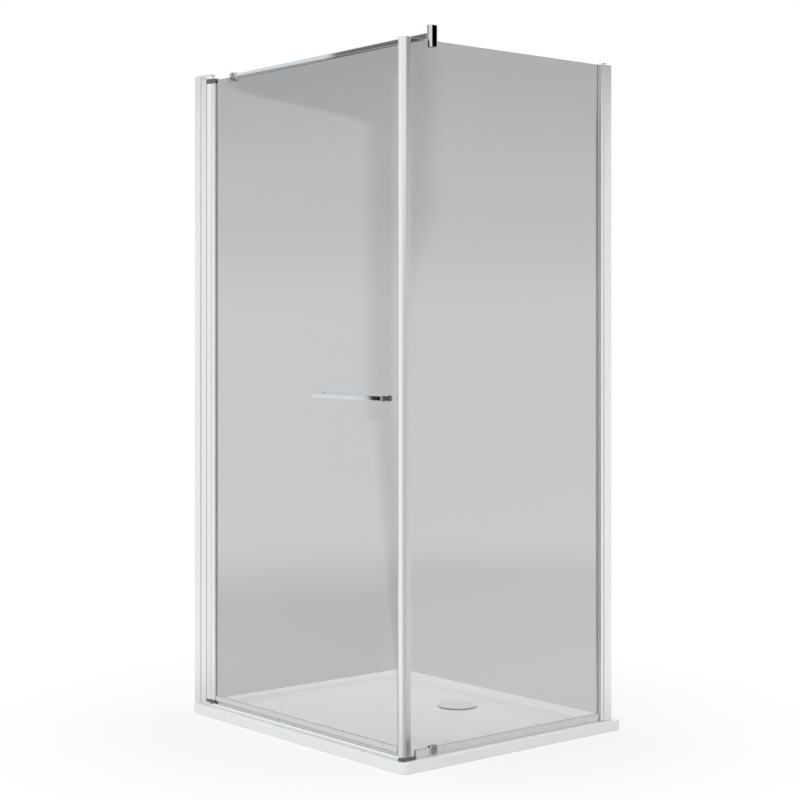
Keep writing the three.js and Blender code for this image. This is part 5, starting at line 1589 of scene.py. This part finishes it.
class FinishesOperator(bpy.types.Operator):
    """Mix the finishes and the node trees that the pieces use"""
    bl_idname = "enclosure.finishes"
    bl_label = "Finishes"

    def execute(self, context):
        mix_finishes()
        drilled_row_tree()
        screw_row_tree()
        return {"FINISHED"}


class TrayOperator(bpy.types.Operator):
    """Cast the tray with its dish and the ribs under it"""
    bl_idname = "enclosure.tray"
    bl_label = "Tray"

    def execute(self, context):
        make_tray()
        return {"FINISHED"}


class DrainOperator(bpy.types.Operator):
    """Fit the drain flange, the strainer and the cover"""
    bl_idname = "enclosure.drain"
    bl_label = "Drain"

    def execute(self, context):
        make_flange()
        make_strainer()
        make_cover()
        return {"FINISHED"}


class WallProfilesOperator(bpy.types.Operator):
    """Extrude the wall channels and the profiles that telescope in them"""
    bl_idname = "enclosure.wall_profiles"
    bl_label = "Wall profiles"

    def execute(self, context):
        make_channels()
        make_frames()
        make_wall_caps()
        return {"FINISHED"}


class DoorLeafOperator(bpy.types.Operator):
    """Extrude the door's pivot profile and fit its ends"""
    bl_idname = "enclosure.door_leaf"
    bl_label = "Door leaf"

    def execute(self, context):
        make_pivot_profile()
        make_door_ends()
        return {"FINISHED"}


class CornerOperator(bpy.types.Operator):
    """Extrude the corner profile and fit its cap, foot and magnetic strip"""
    bl_idname = "enclosure.corner"
    bl_label = "Corner"

    def execute(self, context):
        make_corner()
        return {"FINISHED"}


class ThresholdOperator(bpy.types.Operator):
    """Lay the threshold under the door"""
    bl_idname = "enclosure.threshold"
    bl_label = "Threshold"

    def execute(self, context):
        make_threshold()
        return {"FINISHED"}


class GlassOperator(bpy.types.Operator):
    """Cut the door pane and the side pane"""
    bl_idname = "enclosure.glass"
    bl_label = "Glass"

    def execute(self, context):
        make_panes()
        return {"FINISHED"}


class SealsOperator(bpy.types.Operator):
    """Extrude the glazing rubbers and the seals"""
    bl_idname = "enclosure.seals"
    bl_label = "Seals"

    def execute(self, context):
        make_gaskets()
        make_bottom_seal()
        make_side_seals()
        make_magnet_seal()
        return {"FINISHED"}


class HandleOperator(bpy.types.Operator):
    """Make the handle with its posts, sleeves and caps"""
    bl_idname = "enclosure.handle"
    bl_label = "Handle"

    def execute(self, context):
        make_rail()
        for end in ("left", "right"):
            make_post(end)
            make_sleeve(end)
            make_cap(end)
        return {"FINISHED"}


class StabiliserOperator(bpy.types.Operator):
    """Make the stabilising bar, its bracket and the clamps on the side pane"""
    bl_idname = "enclosure.stabiliser"
    bl_label = "Stabiliser"

    def execute(self, context):
        make_bar()
        make_clamps()
        return {"FINISHED"}


class ScrewsOperator(bpy.types.Operator):
    """Set every screw"""
    bl_idname = "enclosure.screws"
    bl_label = "Screws"

    def execute(self, context):
        make_screws()
        return {"FINISHED"}


STEPS = (
    FinishesOperator, TrayOperator, DrainOperator, WallProfilesOperator, DoorLeafOperator,
    CornerOperator, ThresholdOperator, GlassOperator, SealsOperator, HandleOperator,
    StabiliserOperator, ScrewsOperator, StageOperator,
)
GROUPS = {
    "enclosure_tray": TraySettings,
    "enclosure_profiles": ProfileSettings,
    "enclosure_glazing": GlazingSettings,
    "enclosure_handle": HandleSettings,
    "enclosure_studio": StudioSettings,
}


class EnclosurePanel(bpy.types.Panel):
    """Lists the pieces of the enclosure"""
    bl_idname = "VIEW3D_PT_enclosure"
    bl_label = "Shower enclosure"
    bl_space_type = "VIEW_3D"
    bl_region_type = "UI"
    bl_category = "Enclosure"

    def draw(self, context):
        for step in STEPS:
            self.layout.operator(step.bl_idname)
        for name in GROUPS:
            group = getattr(context.scene, name)
            box = self.layout.box()
            for label in group.bl_rna.properties.keys():
                if label not in ("rna_type", "name"):
                    box.prop(group, label)


def register():
    for group in (*GROUPS.values(), *STEPS, EnclosurePanel):
        bpy.utils.register_class(group)
    for name, group in GROUPS.items():
        setattr(bpy.types.Scene, name, PointerProperty(type=group))


def unregister():
    for name in GROUPS:
        delattr(bpy.types.Scene, name)
    for group in (EnclosurePanel, *reversed(STEPS), *reversed(list(GROUPS.values()))):
        bpy.utils.unregister_class(group)


def main():
    register()
    for step in STEPS:
        family, name = step.bl_idname.split(".")
        getattr(getattr(bpy.ops, family), name)()


if __name__ == "__main__":
    main()
